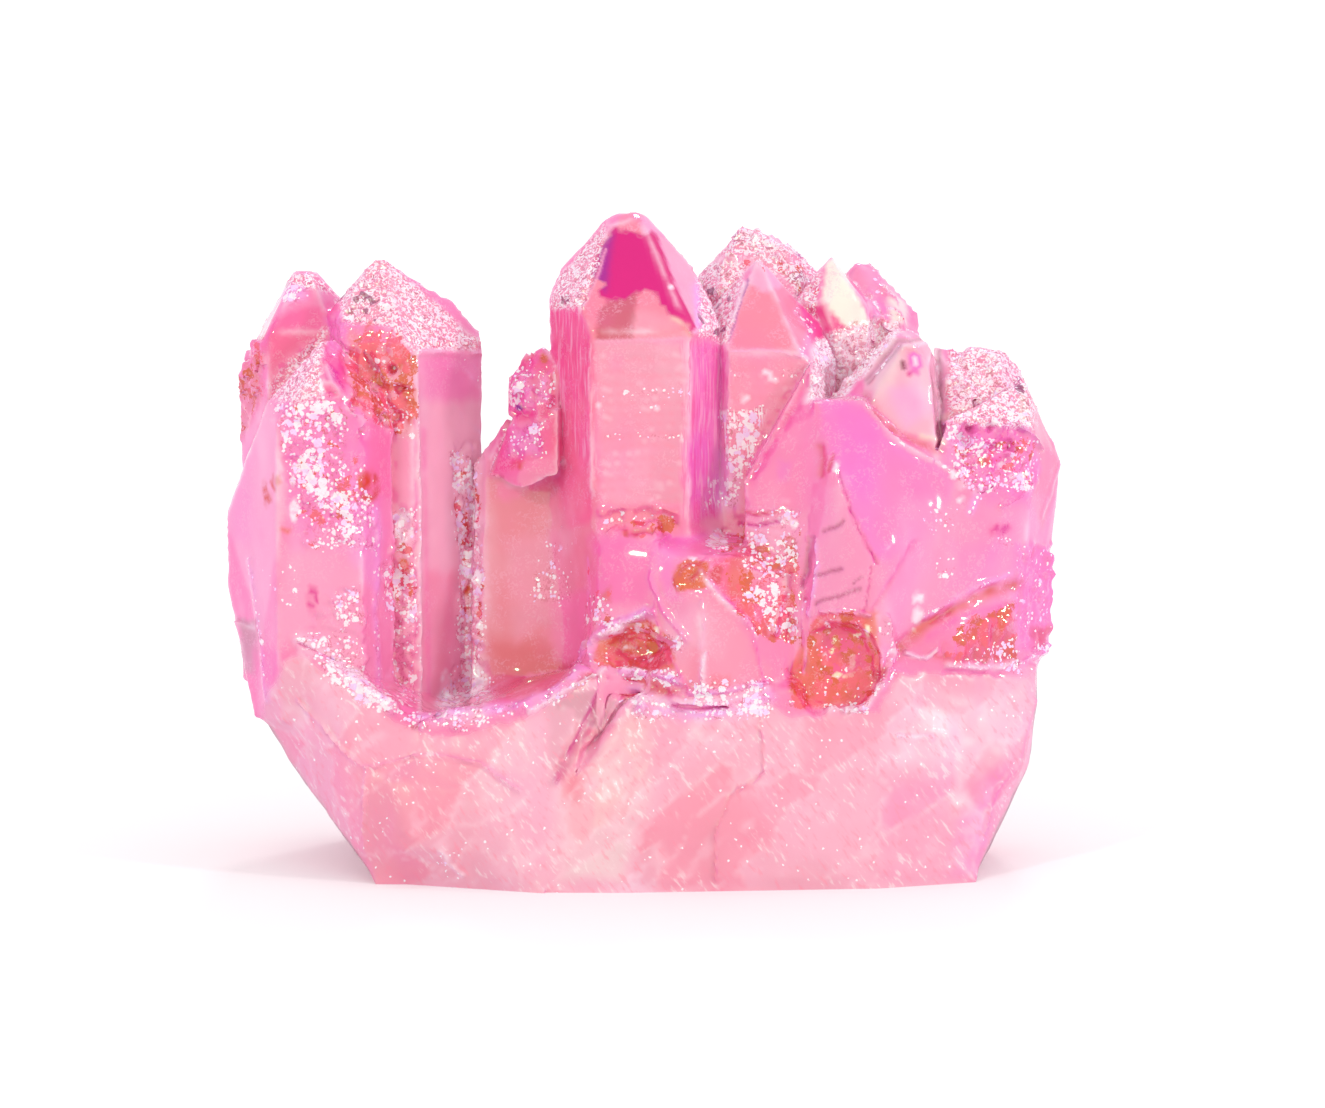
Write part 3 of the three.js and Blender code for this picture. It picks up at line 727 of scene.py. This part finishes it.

# colour, how strong, how soft an edge
# candy is this side face's own pink, made lighter as painted light against its shade; the snow
# lower down is painted light too
# hot here is the coat's magenta, darkened as painted shade on this face
# painted light: snow over this right face lifts the shade that falls on it
# window crystal; the violet and white on its window face are painted reflection, and the white in
# its bubble a painted highlight
AREAS = table("""
# back left crystal
pink 0.8 5: 230,470 236,380 262,300 280,280 314,280 338,292 330,345 272,385
hot 0.75 4: 270,316 300,308 338,300 330,336 300,344 272,372 262,350
violet 0.6 4: 280,282 306,282 306,298 276,300
violet 0.6 4: 242,320 260,316 262,332 248,338
brown 0.6 4: 228,470 234,400 262,350 262,398 240,440
# big left crystal
blush 0.9 3: 380,256 482,343 484,353 415,351
pale 0.9 4: 380,256 338,292 345,322 376,322 402,340
brown 0.8 4: 346,332 415,352 416,440 396,436 350,402
pink 0.9 6: 350,405 400,436 416,440 416,500 384,506 352,470
blush 0.8 4: 417,354 490,352 490,730 418,730
orchid 0.4 10: 417,354 487,352 487,400 418,400
snow 0.3 8: 420,400 488,400 488,720 420,720
salmon 0.7 10: 420,570 460,570 452,660 440,720 420,720
pale 0.4 8: 384,500 416,500 416,704 384,690
# low left crystal
pale 0.8 4: 325,328 268,385 283,400 322,396
hot 0.8 4: 322,350 346,350 346,410 324,400
orchid 0.7 4: 326,315 346,312 346,352 326,352
pale 0.9 3: 264,398 228,475 226,500 230,530 262,640 286,500 274,410
orchid 0.35 10: 226,470 250,430 252,540 232,540
orchid 0.55 6: 280,400 346,400 370,430 366,552 290,552
pale 0.6 14: 286,550 384,510 386,690 300,645 262,640
violet 0.35 8: 352,480 382,500 382,600 352,560
magenta 0.55 8: 260,650 284,650 292,730 262,730
grey 0.9 4: 238,620 258,618 256,672 240,670
# gap
brown 0.9 6: 485,460 560,450 596,480 596,640 570,682 530,702 488,692
red 0.6 12: 488,640 540,640 580,660 560,690 530,702 500,704
pale 0.4 10: 505,540 565,530 575,610 515,640
pink 0.8 8: 550,600 590,590 592,660 552,660
hot 1 4: 504,424 508,368 540,343 562,343 562,422
orchid 0.7 5: 508,372 534,372 536,412 508,412
orchid 0.7 4: 540,376 556,376 556,402 540,402
hot 0.85 4: 490,475 498,432 562,417 562,452 520,476
violet 0.4 6: 512,428 540,428 540,455 506,455
pink 0.8 6: 498,470 560,452 560,480 500,500
# middle crystal
coral 1 2: 600,238 617,230 655,235 693,337 592,340 580,310
dusk 0.9 2.5: 596,341 598,312 612,296 638,292 634,341
coral 0.8 2: 634,341 640,292 662,300 690,336
coral 1 2: 622,212 642,214 642,234 616,228
pale 1 2: 642,214 656,218 660,234 642,234
blush 0.9 3: 603,228 557,280 552,308 582,310 596,250
blush 0.8 2: 656,232 700,265 703,300 697,330 688,316
violet 0.7 3: 696,288 706,284 704,330 696,330
hotter 0.9 5: 550,308 582,310 594,342 596,520 570,530 552,460
rosy 0.6 10: 560,400 592,400 592,520 566,520
dusky 0.75 5: 594,343 690,343 686,505 602,505
magenta 0.25 5: 610,355 624,355 624,370 610,370
pale 0.4 10: 600,450 650,450 650,500 604,500
candy 0.95 4: 684,340 722,340 722,520 684,520
purple 0.25 6: 684,440 708,440 706,510 686,506
snow 0.5 6: 704,470 726,470 722,540 704,540
rosy 0.9 4: 600,510 680,508 676,532 606,536
magenta 0.75 8: 590,538 655,538 650,605 592,605
orchid 0.7 4: 655,536 700,540 676,556 668,590 700,604 690,640 664,612
orange 0.6 4: 598,594 612,588 612,600 600,602
# second crystal and what stands behind it
coral 1 2: 730,350 747,282 764,292 785,284 800,305 812,327 802,357
pale 0.9 1.5: 747,284 752,258 774,256 786,284 764,293
pale 0.9 4: 700,268 746,260 744,284 730,342 700,336
violet 0.7 4: 692,285 700,282 700,325 694,325
salmon 0.7 4: 728,354 806,360 756,456 730,525
orchid 0.8 4: 692,345 728,345 724,440 716,520 694,520
violet 0.4 6: 716,440 742,470 740,510 706,512
purple 0.35 6: 690,430 712,430 710,500 690,500
pale 0.7 4: 697,258 745,223 822,260 816,315 786,276
cream 0.7 4: 697,250 718,240 722,262 704,268
lemon 1 1.5: 827,260 838,256 872,324 846,328 822,303
pink 0.8 3: 840,258 870,258 920,310 920,324 874,324
orchid 0.6 4: 866,285 888,296 888,320 874,318
lemon 0.8 4: 890,296 909,300 909,324 889,324
hot 0.95 2.5: 800,304 826,302 846,329 812,344
# window crystal
white 0.95 4: 812,345 832,334 900,321 897,338 858,379 850,393 800,403
violet 0.6 4: 816,346 831,344 830,366 816,366
blush 1 2: 897,337 941,335 946,412 940,440 900,430 864,396 864,376
cream 0.6 6: 866,380 896,346 906,350 896,380 880,400
violet 0.35 8: 886,392 918,380 932,412 908,428
white 0.4 8: 906,376 924,366 934,400 926,416
rose 0.35 5: 898,342 936,342 936,356 898,352
purple 0.9 1.5: 907,353 914,350 921,354 924,364 918,374 909,370
white 1 1.2: 912,357 918,357 919,366 913,367
# smooth body below it
orchid 0.95 4: 815,400 864,398 886,437 955,475 930,545 880,565 838,486
purple 0.4 10: 838,405 868,405 886,440 866,500 842,480
pink 0.6 14: 880,450 955,475 930,545 880,540
candy 0.9 4: 815,486 838,486 876,562 866,612 812,612
pink 0.7 5: 745,455 812,440 820,510 750,522
orchid 0.7 4: 778,460 790,462 788,480 776,480
pale 0.5 10: 880,565 940,530 930,610 890,650 880,612
pink 0.5 8: 884,556 916,540 908,575 884,600
# last crystal and the lumps below it
pale 0.7 4: 950,350 1036,348 1036,430 950,428
lemon 0.85 3: 1019,392 1030,392 1036,432 1020,428
orchid 0.7 5: 940,424 1040,424 1044,500 990,508 944,462
rosy 0.9 3: 1018,374 1028,376 1064,462 1042,530 1030,500 1042,470
candy 0.75 12: 900,500 1040,500 1018,590 900,640
orchid 0.4 12: 950,540 1000,545 990,590 950,590
red 0.75 5: 1016,600 1020,660 950,664 930,655 960,630
pink 0.85 4: 944,632 972,632 970,652 940,655
orchid 0.7 5: 1016,545 1054,545 1054,655 1016,650
red 0.7 4: 1030,625 1048,625 1046,648 1032,648
# broken feet, the cave and the bowl
salmon 0.6 6: 650,600 700,595 720,592 782,690 652,700
salmon 0.5 3: 704,600 724,604 748,640 738,688 706,690
rosy 0.6 4: 664,640 700,650 696,690 670,690
orange 1 1.5: 671,581 678,564 688,554 708,562 706,588 678,591
hotter 0.85 4: 708,556 740,552 790,556 800,600 768,640 722,596
orange 0.6 5: 726,560 744,552 752,600 730,596
orange 0.5 5: 742,548 756,548 762,570 744,566
ember 1 1.5: 592,661 599,640 622,628 648,618 672,640 676,668 640,668
red 0.8 5: 636,650 664,640 672,664 646,668
red 0.9 3: 620,678 656,678 676,694 626,692
red 0.9 2.5: 572,690 584,672 600,664 600,672 584,686
crimson 0.95 2.5: 810,622 822,612 877,614 881,677 867,704 829,710 797,708 786,672
ember 0.85 6: 790,690 794,664 812,640 824,650 818,690 804,706
ember 0.8 6: 828,684 850,680 856,700 826,706
orange 0.7 5: 860,614 878,614 878,640 864,634
hot 0.8 8: 822,630 862,634 866,672 828,682
red 0.5 4: 684,686 702,686 700,694 686,694
rose 0.9 4: 710,676 732,676 728,690 710,690
""")
# the deep colour on the middle crystal's cap, laid last and with a sharp edge
STAIN = places("""
    604,240 617,226 620,231 645,236 655,231 662,250 674,280 695,327 692,334 684,324 672,316
    662,305 655,293 645,290 626,299 606,301 598,294 605,283 590,276 598,248
""")
# painted shade: the deep, grey and wine rows lie down the cleft, where its groove is in shade
IN_MATRIX = table("""
cream 0.75 12: 566,720 640,712 650,800 620,880 560,880 552,800
deep 0.35 6: 622,664 608,704 560,792 548,786 592,690
grey 0.9 8: 545,690 598,690 590,720 548,782
dusky 0.9 14: 366,765 480,760 482,882 370,882
dusky 0.7 12: 640,820 722,822 720,884 640,884
pink 0.65 16: 880,784 1000,770 985,886 880,884
red 0.4 6: 562,776 582,776 580,806 562,806
white 0.3 16: 890,690 1040,690 1030,760 900,760
pale 0.5 12: 270,700 360,760 360,860 300,780
orchid 0.8 10: 1006,766 1000,800 985,880 946,880 962,820 985,780
violet 0.7 8: 992,790 986,840 976,850 974,810
pale 0.5 14: 484,740 540,735 556,800 540,860 500,820
wine 0.5 4: 606,688 616,692 590,738 562,778 550,790 554,774 580,732
magenta 0.5 4: 620,700 630,704 608,734 580,768 570,772 596,738
""")
# how thick the orange and red spots, the glints and the dark strokes are; the glints are painted
# highlights
RUSTY = table("""
0.55: 810,622 822,612 877,614 881,677 867,704 829,710 797,708 786,672
0.5: 592,661 599,640 622,628 648,618 672,640 676,668 640,668
0.66: 347,348 360,326 394,330 415,353 416,421 401,436 378,424 352,407
0.8: 395,340 415,353 416,421 398,420
0.48: 228,470 236,380 252,330 264,345 262,398 240,440
0.3: 290,400 330,400 364,430 360,550 300,550
0.5: 724,540 800,530 800,640 766,646 722,600
0.5: 630,516 676,512 674,532 630,534
0.6: 950,625 1018,600 1020,660 944,660
0.35: 588,590 615,590 612,625 590,625
0.25: 700,250 822,262 816,315 786,280
0.4: 950,440 1036,440 1036,490 965,490
0.5: 394,540 416,540 416,600 392,600
0.42: 454,470 480,470 484,640 462,640
""")
GLINTS = table("""
0.95: 300,640 346,628 366,660 384,690 404,716 372,712 332,684
0.9: 456,600 480,590 486,716 462,716
0.9: 724,412 764,410 756,440 728,444
0.8: 274,404 330,396 346,410 350,440 356,548 306,552 288,480
0.55: 346,450 372,470 374,500 376,550 352,552
0.32: 340,340 415,350 416,440 380,430 346,400
0.9: 394,512 418,506 418,560 400,560
0.8: 384,560 418,560 418,600 386,600
0.85: 386,600 418,600 418,706 400,706
0.9: 450,450 476,450 482,560 456,560
0.9: 456,560 482,560 486,690 464,670
0.9: 470,664 486,664 494,700 478,704
1: 456,655 461,720 434,722
0.8: 330,592 360,590 364,625 336,625
0.95: 310,636 350,640 366,690 340,668
0.9: 374,690 390,690 396,712 376,704
0.22: 262,560 300,560 300,612 270,606
0.6: 478,360 486,360 486,376 478,376
0.12: 436,364 486,360 486,400 440,396
0.6: 504,410 508,368 534,356 534,412
0.6: 538,372 558,374 556,406 540,406
0.7: 508,425 545,425 545,455 508,458
0.75: 722,412 766,408 756,470 730,480
0.4: 732,368 806,366 800,382 732,382
0.4: 600,391 686,389 686,397 600,400
0.3: 604,404 684,402 684,410 604,412
0.4: 600,433 686,432 686,441 600,442
0.55: 706,478 742,478 738,508 706,508
0.95: 704,534 730,534 730,552 704,550
0.42: 530,545 568,540 574,604 530,604
0.42: 602,506 672,506 672,526 604,530
0.75: 586,596 616,596 616,628 586,628
0.6: 660,636 686,632 686,652 664,652
0.7: 760,508 800,512 800,530 760,530
0.6: 742,530 800,530 800,640 764,640 740,590
0.3: 670,552 716,552 716,592 674,590
0.3: 950,352 1030,350 1034,428 950,426
0.62: 950,436 1038,440 1036,492 962,492
0.85: 946,424 962,424 974,480 958,480
0.4: 924,505 960,500 952,536 926,536
0.4: 936,555 960,555 956,585 938,585
0.7: 994,536 1016,536 1014,546 994,546
0.85: 996,640 1022,640 1022,674 996,672
0.5: 960,650 1000,645 1000,668 960,668
0.3: 1018,545 1054,545 1054,655 1018,655
0.3: 440,845 466,850 466,880 440,880
0.3: 866,258 890,262 900,300 880,300
0.7: 272,284 312,282 306,302 274,300
0.6: 246,310 272,300 264,336 250,330
0.8: 620,664 680,670 690,686 620,684
0.8: 690,682 772,678 772,718 690,720
0.7: 620,696 690,698 690,720 630,718
0.6: 400,712 470,718 470,734 400,730
0.55: 470,716 530,706 580,664 600,656 604,672 560,706 480,732
0.6: 786,700 796,700 796,716 786,716
0.7: 826,702 872,698 872,716 826,718
0.4: 880,620 898,620 898,680 880,690
0.7: 1036,640 1054,640 1054,660 1036,660
0.22: 812,612 880,612 882,680 840,700 800,690
0.22: 600,620 672,625 672,668 600,664
0.6: 816,344 832,342 832,366 816,366
""")
DARKER = table("""
0.8: 338,292 380,280 380,330 345,330
0.5: 698,285 735,285 728,342 698,338
0.8: 786,268 806,268 812,300 790,300
0.7: 1010,374 1024,378 1022,402 1012,400
0.6: 556,286 575,286 572,308 552,308
""")


def lay(tint, *colours):
    """The tint with colours laid over it one by one, each where its mask is 1."""
    for mask, name in colours:
        tint = tint + mask[:, None] * (COLOURS[name] - tint)
    return tint


def amounts(outlines):
    """How thick the marks of one table are on the front; the tables hold spots, dark strokes and
    glints, the glints being painted highlights.
    """
    thick = [much * within(marked, outline, 5) for much, outline in outlines]
    return on_front(np.max(thick, axis=0))


veil = clouds(points * (1, 1, 0.45), 3.2, 88)
tint = lay(
    np.tile(COLOURS["pink"], (len(points), 1)),
    (0.5 * smooth(clouds(points, 10, 90), -0.2, 0.6), "pale"),
    (0.7 * behind * smooth(clouds(points, 8, 95), 0.0, 0.6), "magenta"),
    (0.45 * behind * smooth(clouds(points, 6, 98), 0.1, 0.5), "violet"),
    (0.5 * behind * smooth(clouds(points, 9, 104), 0.1, 0.5), "blush"),
)
for name, much, soft, outline in AREAS:
    edged = crisp if soft < 4 else marked
    tint = lay(tint, (on_front(much * within(edged, outline, soft)), name))
stain = on_front(within(crisp, STAIN, 0.8))
bluish = within(crisp, places("606,237 614,233 606,292 589,276"), 5)
broken_up = smooth(clouds(points, 1.0, 177, 2), 0.1, 0.45)
tint = lay(
    tint,
    (0.18 * smooth(veil, 0.1, 0.7), "white"),
    (0.22 * smooth(-veil, 0.1, 0.7), "magenta"),
    (stain, "stain"),
    (stain * smooth(veil, 0.1, 0.9) * 0.35, "hot"),
    (stain * on_front(0.8 * bluish), "plum"),
    # painted highlights: white dashes on the crests of the fine ledges
    (front * ripple * 0.25 * smooth(ledge, 0.62, 0.85) * broken_up, "white"),
    (ripple * 0.3 * smooth(ledge, 0.4, 0.1), "rosy"),
)
torn = on_front(0.25 + 0.75 * smooth(cloud(points[on], 0.55, 171), -0.4, 0.1))
# the white and yellow specks are painted highlights; the others are spots of colour
for name, ovals in SPECKS.items():
    for *middle, wide, tall in ovals:
        mask = on_front(oval(flecked, middle, (wide, tall)))
        tint = lay(tint, (mask * torn if max(wide, tall) > 5 else mask, name))

milky = np.tile(COLOURS["milky"], (len(points), 1))
milky = lay(milky, (0.8 * smooth(clouds(points, 7, 130), 0, 0.6), "dusky"))
for name, much, soft, outline in IN_MATRIX:
    milky = lay(milky, (on_front(much * within(marked, outline, soft)), name))
slant = np.array(((0.7, 0, 0.25), (0, 1, 0), (-0.7, 0, 0.25)))
streak = clouds(points @ slant + 0.5 * clouds(points, 3, 165)[:, None], 1.1, 160, 4)
cloudy = clouds(points, 4.5, 168, 3)
first, second, tone = grains(points @ slant + 0.8 * clouds(points, 2, 320, 2)[:, None], 5.5, 310)
milky = lay(
    milky,
    (0.5 * smooth(streak, 0.12, 0.6) * smooth(cloudy, -0.5, 0.3), "white"),
    (0.25 * smooth(-cloudy, 0.0, 0.5), "dusky"),
    (0.5 * smooth(tone, 0.55, 0.6), "blush"),
    (0.4 * smooth(tone, 0.35, 0.3), "rosy"),
    (0.35 * (1 - smooth(second - first, 0.0, 0.06)), "snow"),
)
tint += matrix[:, None] * (milky - tint)
# painted highlight: the outward edges up high are whitened in patches, but not on rounded or lumpy
# parts
edge_highlight = np.exp(-((edge_gap / 0.3) ** 2)) * smooth(clouds(points, 2.0, 175), -0.5, 0.3) * high
edge_highlight *= (1 - rounded) * (1 - lump)
tint = lay(tint, (0.45 * edge_highlight, "white"))
# the lines laid in colour: the white and violet ones are painted highlights and reflections
gaps = 0.6 + 0.4 * cloud(points, 0.8, 170)
for near, (width, _, name, much, _) in zip(line_near, LINES):
    tint = lay(tint, (much * near * (gaps if width > 2 else 1), name))
tint *= RICHER

rust = np.maximum(amounts(RUSTY), behind * flank * 0.6 * smooth(clouds(points, 7, 99), 0.1, 0.5))
# painted highlights: glints gather along the white and violet lines too, which are painted
# highlights and reflections themselves
highlight_lines = [near for near, line in zip(line_near, LINES) if line[2] in ("violet", "white")]
rims = np.max(highlight_lines, axis=0)
glint = np.maximum(amounts(GLINTS), 0.5 * rims)
glint = np.maximum(glint, behind * 0.5 * np.maximum(lump, 0.4 * ripple))
cluster = smooth(clouds(points, 1.5, 180, 2), -0.35, 0.45)
glint = np.minimum(1.45 * glint * (0.4 + 0.6 * cluster), 1)
dark = amounts(DARKER) + 0.25 * behind * sugar
gloss = np.clip(1 - 0.75 * matrix - 0.35 * sugar - stain, 0, 1)
# soft noises from 0 to 1 that the material cuts into spots
blotches = 0.5 + 0.45 * clouds(points + 0.3 * clouds(points, 0.8, 401, 2)[:, None], 0.72, 400, 2)
hues, groups, patches, swirls = (
    0.5 + 0.4 * clouds(points, size, salt, 2)
    for size, salt in ((1.7, 410), (1.2, 420), (4.0, 430), (0.8, 440))
)

# ---------------- the piece

GRAIN, CHIP, WORM = 0.34, 0.68, 0.31  # sizes of the glints and of the ragged noise in them
THREAD_TILT = math.radians(38)
FILM = 420.0  # nanometres thick, but none on the stain

mesh = bpy.data.meshes.new("quartz")
mesh.from_pydata((moved * MM).tolist(), [], triangles.tolist())
# the glint channel of flecks masks the glints, which are painted highlights
for name, values in {
    "tint": tint.T,
    "flecks": (sugar, glint, rust),
    "finish": (dark, gloss, stripe),
    "stone": (matrix, patches, swirls),
    "spread": (blotches, hues, groups),
}.items():
    layer = mesh.color_attributes.new(name, "FLOAT_COLOR", "POINT")
    colour = np.stack((*values, np.ones(len(points))), axis=1)
    layer.data.foreach_set("color", colour.astype(np.float32).ravel())
mesh.polygons.foreach_set("use_smooth", sugar[triangles].mean(axis=1) < 0.3)
mesh.update()
mesh.set_sharp_from_angle(angle=math.radians(32))
piece = bpy.data.objects.new("quartz", mesh)
bpy.context.scene.collection.objects.link(piece)

material = bpy.data.materials.new("coated quartz")
material.use_nodes = True
nodes, links = material.node_tree.nodes, material.node_tree.links
shader = nodes["Principled BSDF"]


def feed(socket, source):
    """Joins a source to a socket, or sets the socket to a value or a colour's name."""
    if isinstance(source, bpy.types.NodeSocket):
        links.new(source, socket)
    elif isinstance(source, str):
        socket.default_value = (*COLOURS[source], 1)
    elif source is not None:
        socket.default_value = source


def put(made, **sources):
    """Feeds a node's inputs by name, with _ for a blank."""
    for name, source in sources.items():
        feed(made.inputs[name.replace("_", " ")], source)


def node(kind, *sources, **values):
    """A new node with its first inputs fed in order."""
    made = nodes.new("ShaderNode" + kind)
    for name, value in values.items():
        setattr(made, name, value)
    for socket, source in zip(made.inputs, sources):
        feed(socket, source)
    return made


def calc(operation, a, b):
    """A sum, difference or the like of two values, held between 0 and 1."""
    return node("Math", a, b, operation=operation, use_clamp=True).outputs[0]


def times(first, *others):
    """The product of values, held between 0 and 1."""
    for other in others:
        first = calc("MULTIPLY", first, other)
    return first


def split(colour):
    """The three numbers that a colour holds."""
    return node("SeparateColor", colour).outputs[:3]


def attribute(name):
    """A colour that the mesh carries at its points."""
    return node("Attribute", attribute_name=name).outputs["Color"]


def blend(amount, first, second):
    """The first colour, and the second where amount is 1."""
    made = node("Mix", amount, data_type="RGBA")
    feed(made.inputs[6], first)
    feed(made.inputs[7], second)
    return made.outputs[2]


def cover(base, *layers):
    """The base with colours over it one by one, each where the product of its amounts is 1."""
    for colour, *amounts in layers:
        base = blend(times(*amounts), base, colour)
    return base


def ramp(value, low, high):
    """0 at or below low and 1 at or above high, with a soft rise between."""
    return node("MapRange", value, low, high, interpolation_type="SMOOTHSTEP").outputs[0]


def stretch(where, scale):
    """Places scaled along each axis."""
    return node("VectorMath", where, scale, operation="MULTIPLY").outputs[0]


def specks(size):
    """How far a place is from the middle of its grain, in grain sizes, and three random numbers
    for the grain."""
    made = node("TexVoronoi", place)
    put(made, Scale=1 / size)
    return made.outputs["Distance"], split(made.outputs["Color"])


def noise(where, **values):
    """Soft noise about 0.5, one unit across if values say nothing else."""
    made = node("TexNoise", where)
    put(made, **{"Scale": 1.0, **values})
    return made.outputs["Fac"]


sugars, glints, rusts = split(attribute("flecks"))
darks, glosses, stripes = split(attribute("finish"))
stones, patch, swirl = split(attribute("stone"))
blotch, hue, group = split(attribute("spread"))
place = stretch(node("TexCoord").outputs["Object"], (1 / MM,) * 3)
(fine_off, fine), (coarse_off, coarse) = specks(GRAIN), specks(CHIP)
worm = noise(place, Scale=1 / WORM, Detail=1, Distortion=1.2)
ragged = calc("SUBTRACT", times(worm, 0.8), 0.17)
fine_off, coarse_off = calc("ADD", fine_off, ragged), calc("ADD", coarse_off, ragged)

# the milky block: fine slanting threads in cloudy patches, and a few white crumbs
turned = node("VectorRotate", place, rotation_type="Y_AXIS")
put(turned, Angle=THREAD_TILT)
thread = noise(stretch(turned.outputs[0], (2.6, 1.3, 0.7)), Detail=2, Roughness=0.62)
crumb = times(calc("LESS_THAN", fine_off, 0.5), calc("LESS_THAN", fine[1], 0.035))
# single dark spots, and orange and red ones where rust is thick
thick = calc("SUBTRACT", 0.74, times(darks, 0.2))
dark_on = ramp(calc("SUBTRACT", swirl, thick), 0.0, 0.03)
rust_edge = calc("ADD", calc("SUBTRACT", 0.53, times(rusts, 0.5)), times(worm, 0.5))
rust_on = ramp(calc("SUBTRACT", blotch, rust_edge), 0.0, 0.03)
rust_colour = blend(ramp(hue, 0.46, 0.56), "crimson", "amber")
# upright streaks on the striped faces
streaks = noise(stretch(place, (3.2, 3.2, 0.35)), Detail=2)
# glints, which are painted highlights: round ones of two sizes, that run together where they are
# thick, and dashes
often = times(glints, 0.78)
span = calc("ADD", times(glints, 0.45), 0.4)
grain = calc("LESS_THAN", fine_off, times(span, calc("ADD", fine[2], 0.75)))
grain = times(grain, calc("LESS_THAN", fine[0], often))
large_glint = calc("LESS_THAN", coarse_off, times(span, calc("ADD", coarse[0], 0.65)))
large_glint = times(large_glint, calc("LESS_THAN", coarse[2], often), ramp(group, 0.44, 0.5))
dash = times(stripes, ramp(streaks, 0.54, 0.58), ramp(glints, 0.1, 0.5))
sparkle = calc("MAXIMUM", dash, calc("MAXIMUM", grain, large_glint))
sparkle_colour = blend(ramp(coarse[1], 0.62, 0.8), "white", "lilac")
base = cover(
    attribute("tint"),
    ("snow", stones, ramp(thread, 0.56, 0.7), ramp(patch, 0.4, 0.6), 0.6),
    ("rosy", stones, ramp(thread, 0.44, 0.3), 0.5),
    ("white", stones, crumb),
    # pale grains on the caps, rose between them and a few grey-brown strokes
    ("rose", sugars, ramp(worm, 0.53, 0.44), 0.5),
    ("white", sugars, ramp(worm, 0.49, 0.55)),
    ("umber", sugars, ramp(worm, 0.4, 0.34), ramp(blotch, 0.5, 0.56), 0.6),
    ("wine", dark_on, ramp(darks, 0.05, 0.2), 0.8),
    (rust_colour, rust_on, ramp(rusts, 0.05, 0.15), 0.9),
    ("pale", stripes, ramp(streaks, 0.52, 0.66), 0.6),
    ("hot", stripes, ramp(streaks, 0.46, 0.34), 0.5),
    # deep red squiggles between the glints, where those are thick
    ("dusk", ramp(worm, 0.46, 0.38), ramp(glints, 0.25, 0.7), 0.6),
    # painted highlights: white and lilac glints laid over the colour
    (sparkle_colour, sparkle, 0.95),
    # the plain coat is faintly mottled
    ("pale", ramp(worm, 0.5, 0.62), ramp(group, 0.42, 0.62), 0.3, ramp(glosses, 0.3, 0.6)),
)
put(
    shader,
    Base_Color=base,
    Roughness=node("MapRange", glosses, 0.0, 1.0, 0.5, 0.1).outputs[0],
    Coat_Weight=times(glosses, 0.2),
    Coat_Roughness=0.05,
    Thin_Film_Thickness=node("MapRange", glosses, 0.0, 0.2, 0.0, FILM).outputs[0],
    Thin_Film_IOR=1.6,
    IOR=1.544,
    Specular_IOR_Level=0.3,
    Transmission_Weight=0.15,
)
mesh.materials.append(material)

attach(piece, "root")
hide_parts("quartz_cluster")

# ---------------- floor, light and camera

SENSOR = 36.0  # millimetres across

scene = bpy.context.scene
scene.view_settings.view_transform = "Standard"

floor_mesh = bpy.data.meshes.new("floor")
side = 3.0  # metres from the middle to an edge
corners = [(-side, -side, 0), (side, -side, 0), (side, side, 0), (-side, side, 0)]
floor_mesh.from_pydata(corners, [], [(0, 1, 2, 3)])
floor = bpy.data.objects.new("floor", floor_mesh)
floor_mesh.materials.append(bpy.data.materials.new("floor"))
floor_mesh.materials[0].use_nodes = True
floor_shader = floor_mesh.materials[0].node_tree.nodes["Principled BSDF"]
put(floor_shader, Base_Color=(0.87, 0.86, 0.865, 1), Roughness=0.9, Specular_IOR_Level=0.1)
scene.collection.objects.link(floor)

world = bpy.data.worlds.new("studio")
world.use_nodes = True
put(world.node_tree.nodes["Background"], Color=(1, 1, 1, 1), Strength=1.08)
scene.world = world


def lamp(name, toward, strength, width):
    """A round soft light far off in a direction, this many degrees wide."""
    light = bpy.data.lights.new(name, "SUN")
    light.energy = strength
    light.angle = math.radians(width)
    lamp_object = bpy.data.objects.new(name, light)
    lamp_object.rotation_euler = Vector(toward).to_track_quat("Z", "Y").to_euler()
    scene.collection.objects.link(lamp_object)


lamp("key", (-0.5, -0.75, 0.65), 0.46, 5)
lamp("fill", (0.9, -0.45, 0.4), 0.78, 6)
lamp("rim", (0.1, 0.7, 0.8), 0.4, 10)

camera = bpy.data.cameras.new("camera")
camera.sensor_width = SENSOR
camera.lens = SENSOR * DISTANCE / (FRAME[0] / SCALE)
camera_object = bpy.data.objects.new("camera", camera)
camera_object.location = Vector(EYE) * MM
camera_object.rotation_euler = (math.pi / 2 - ELEVATION, 0, 0)
scene.collection.objects.link(camera_object)
scene.camera = camera_object
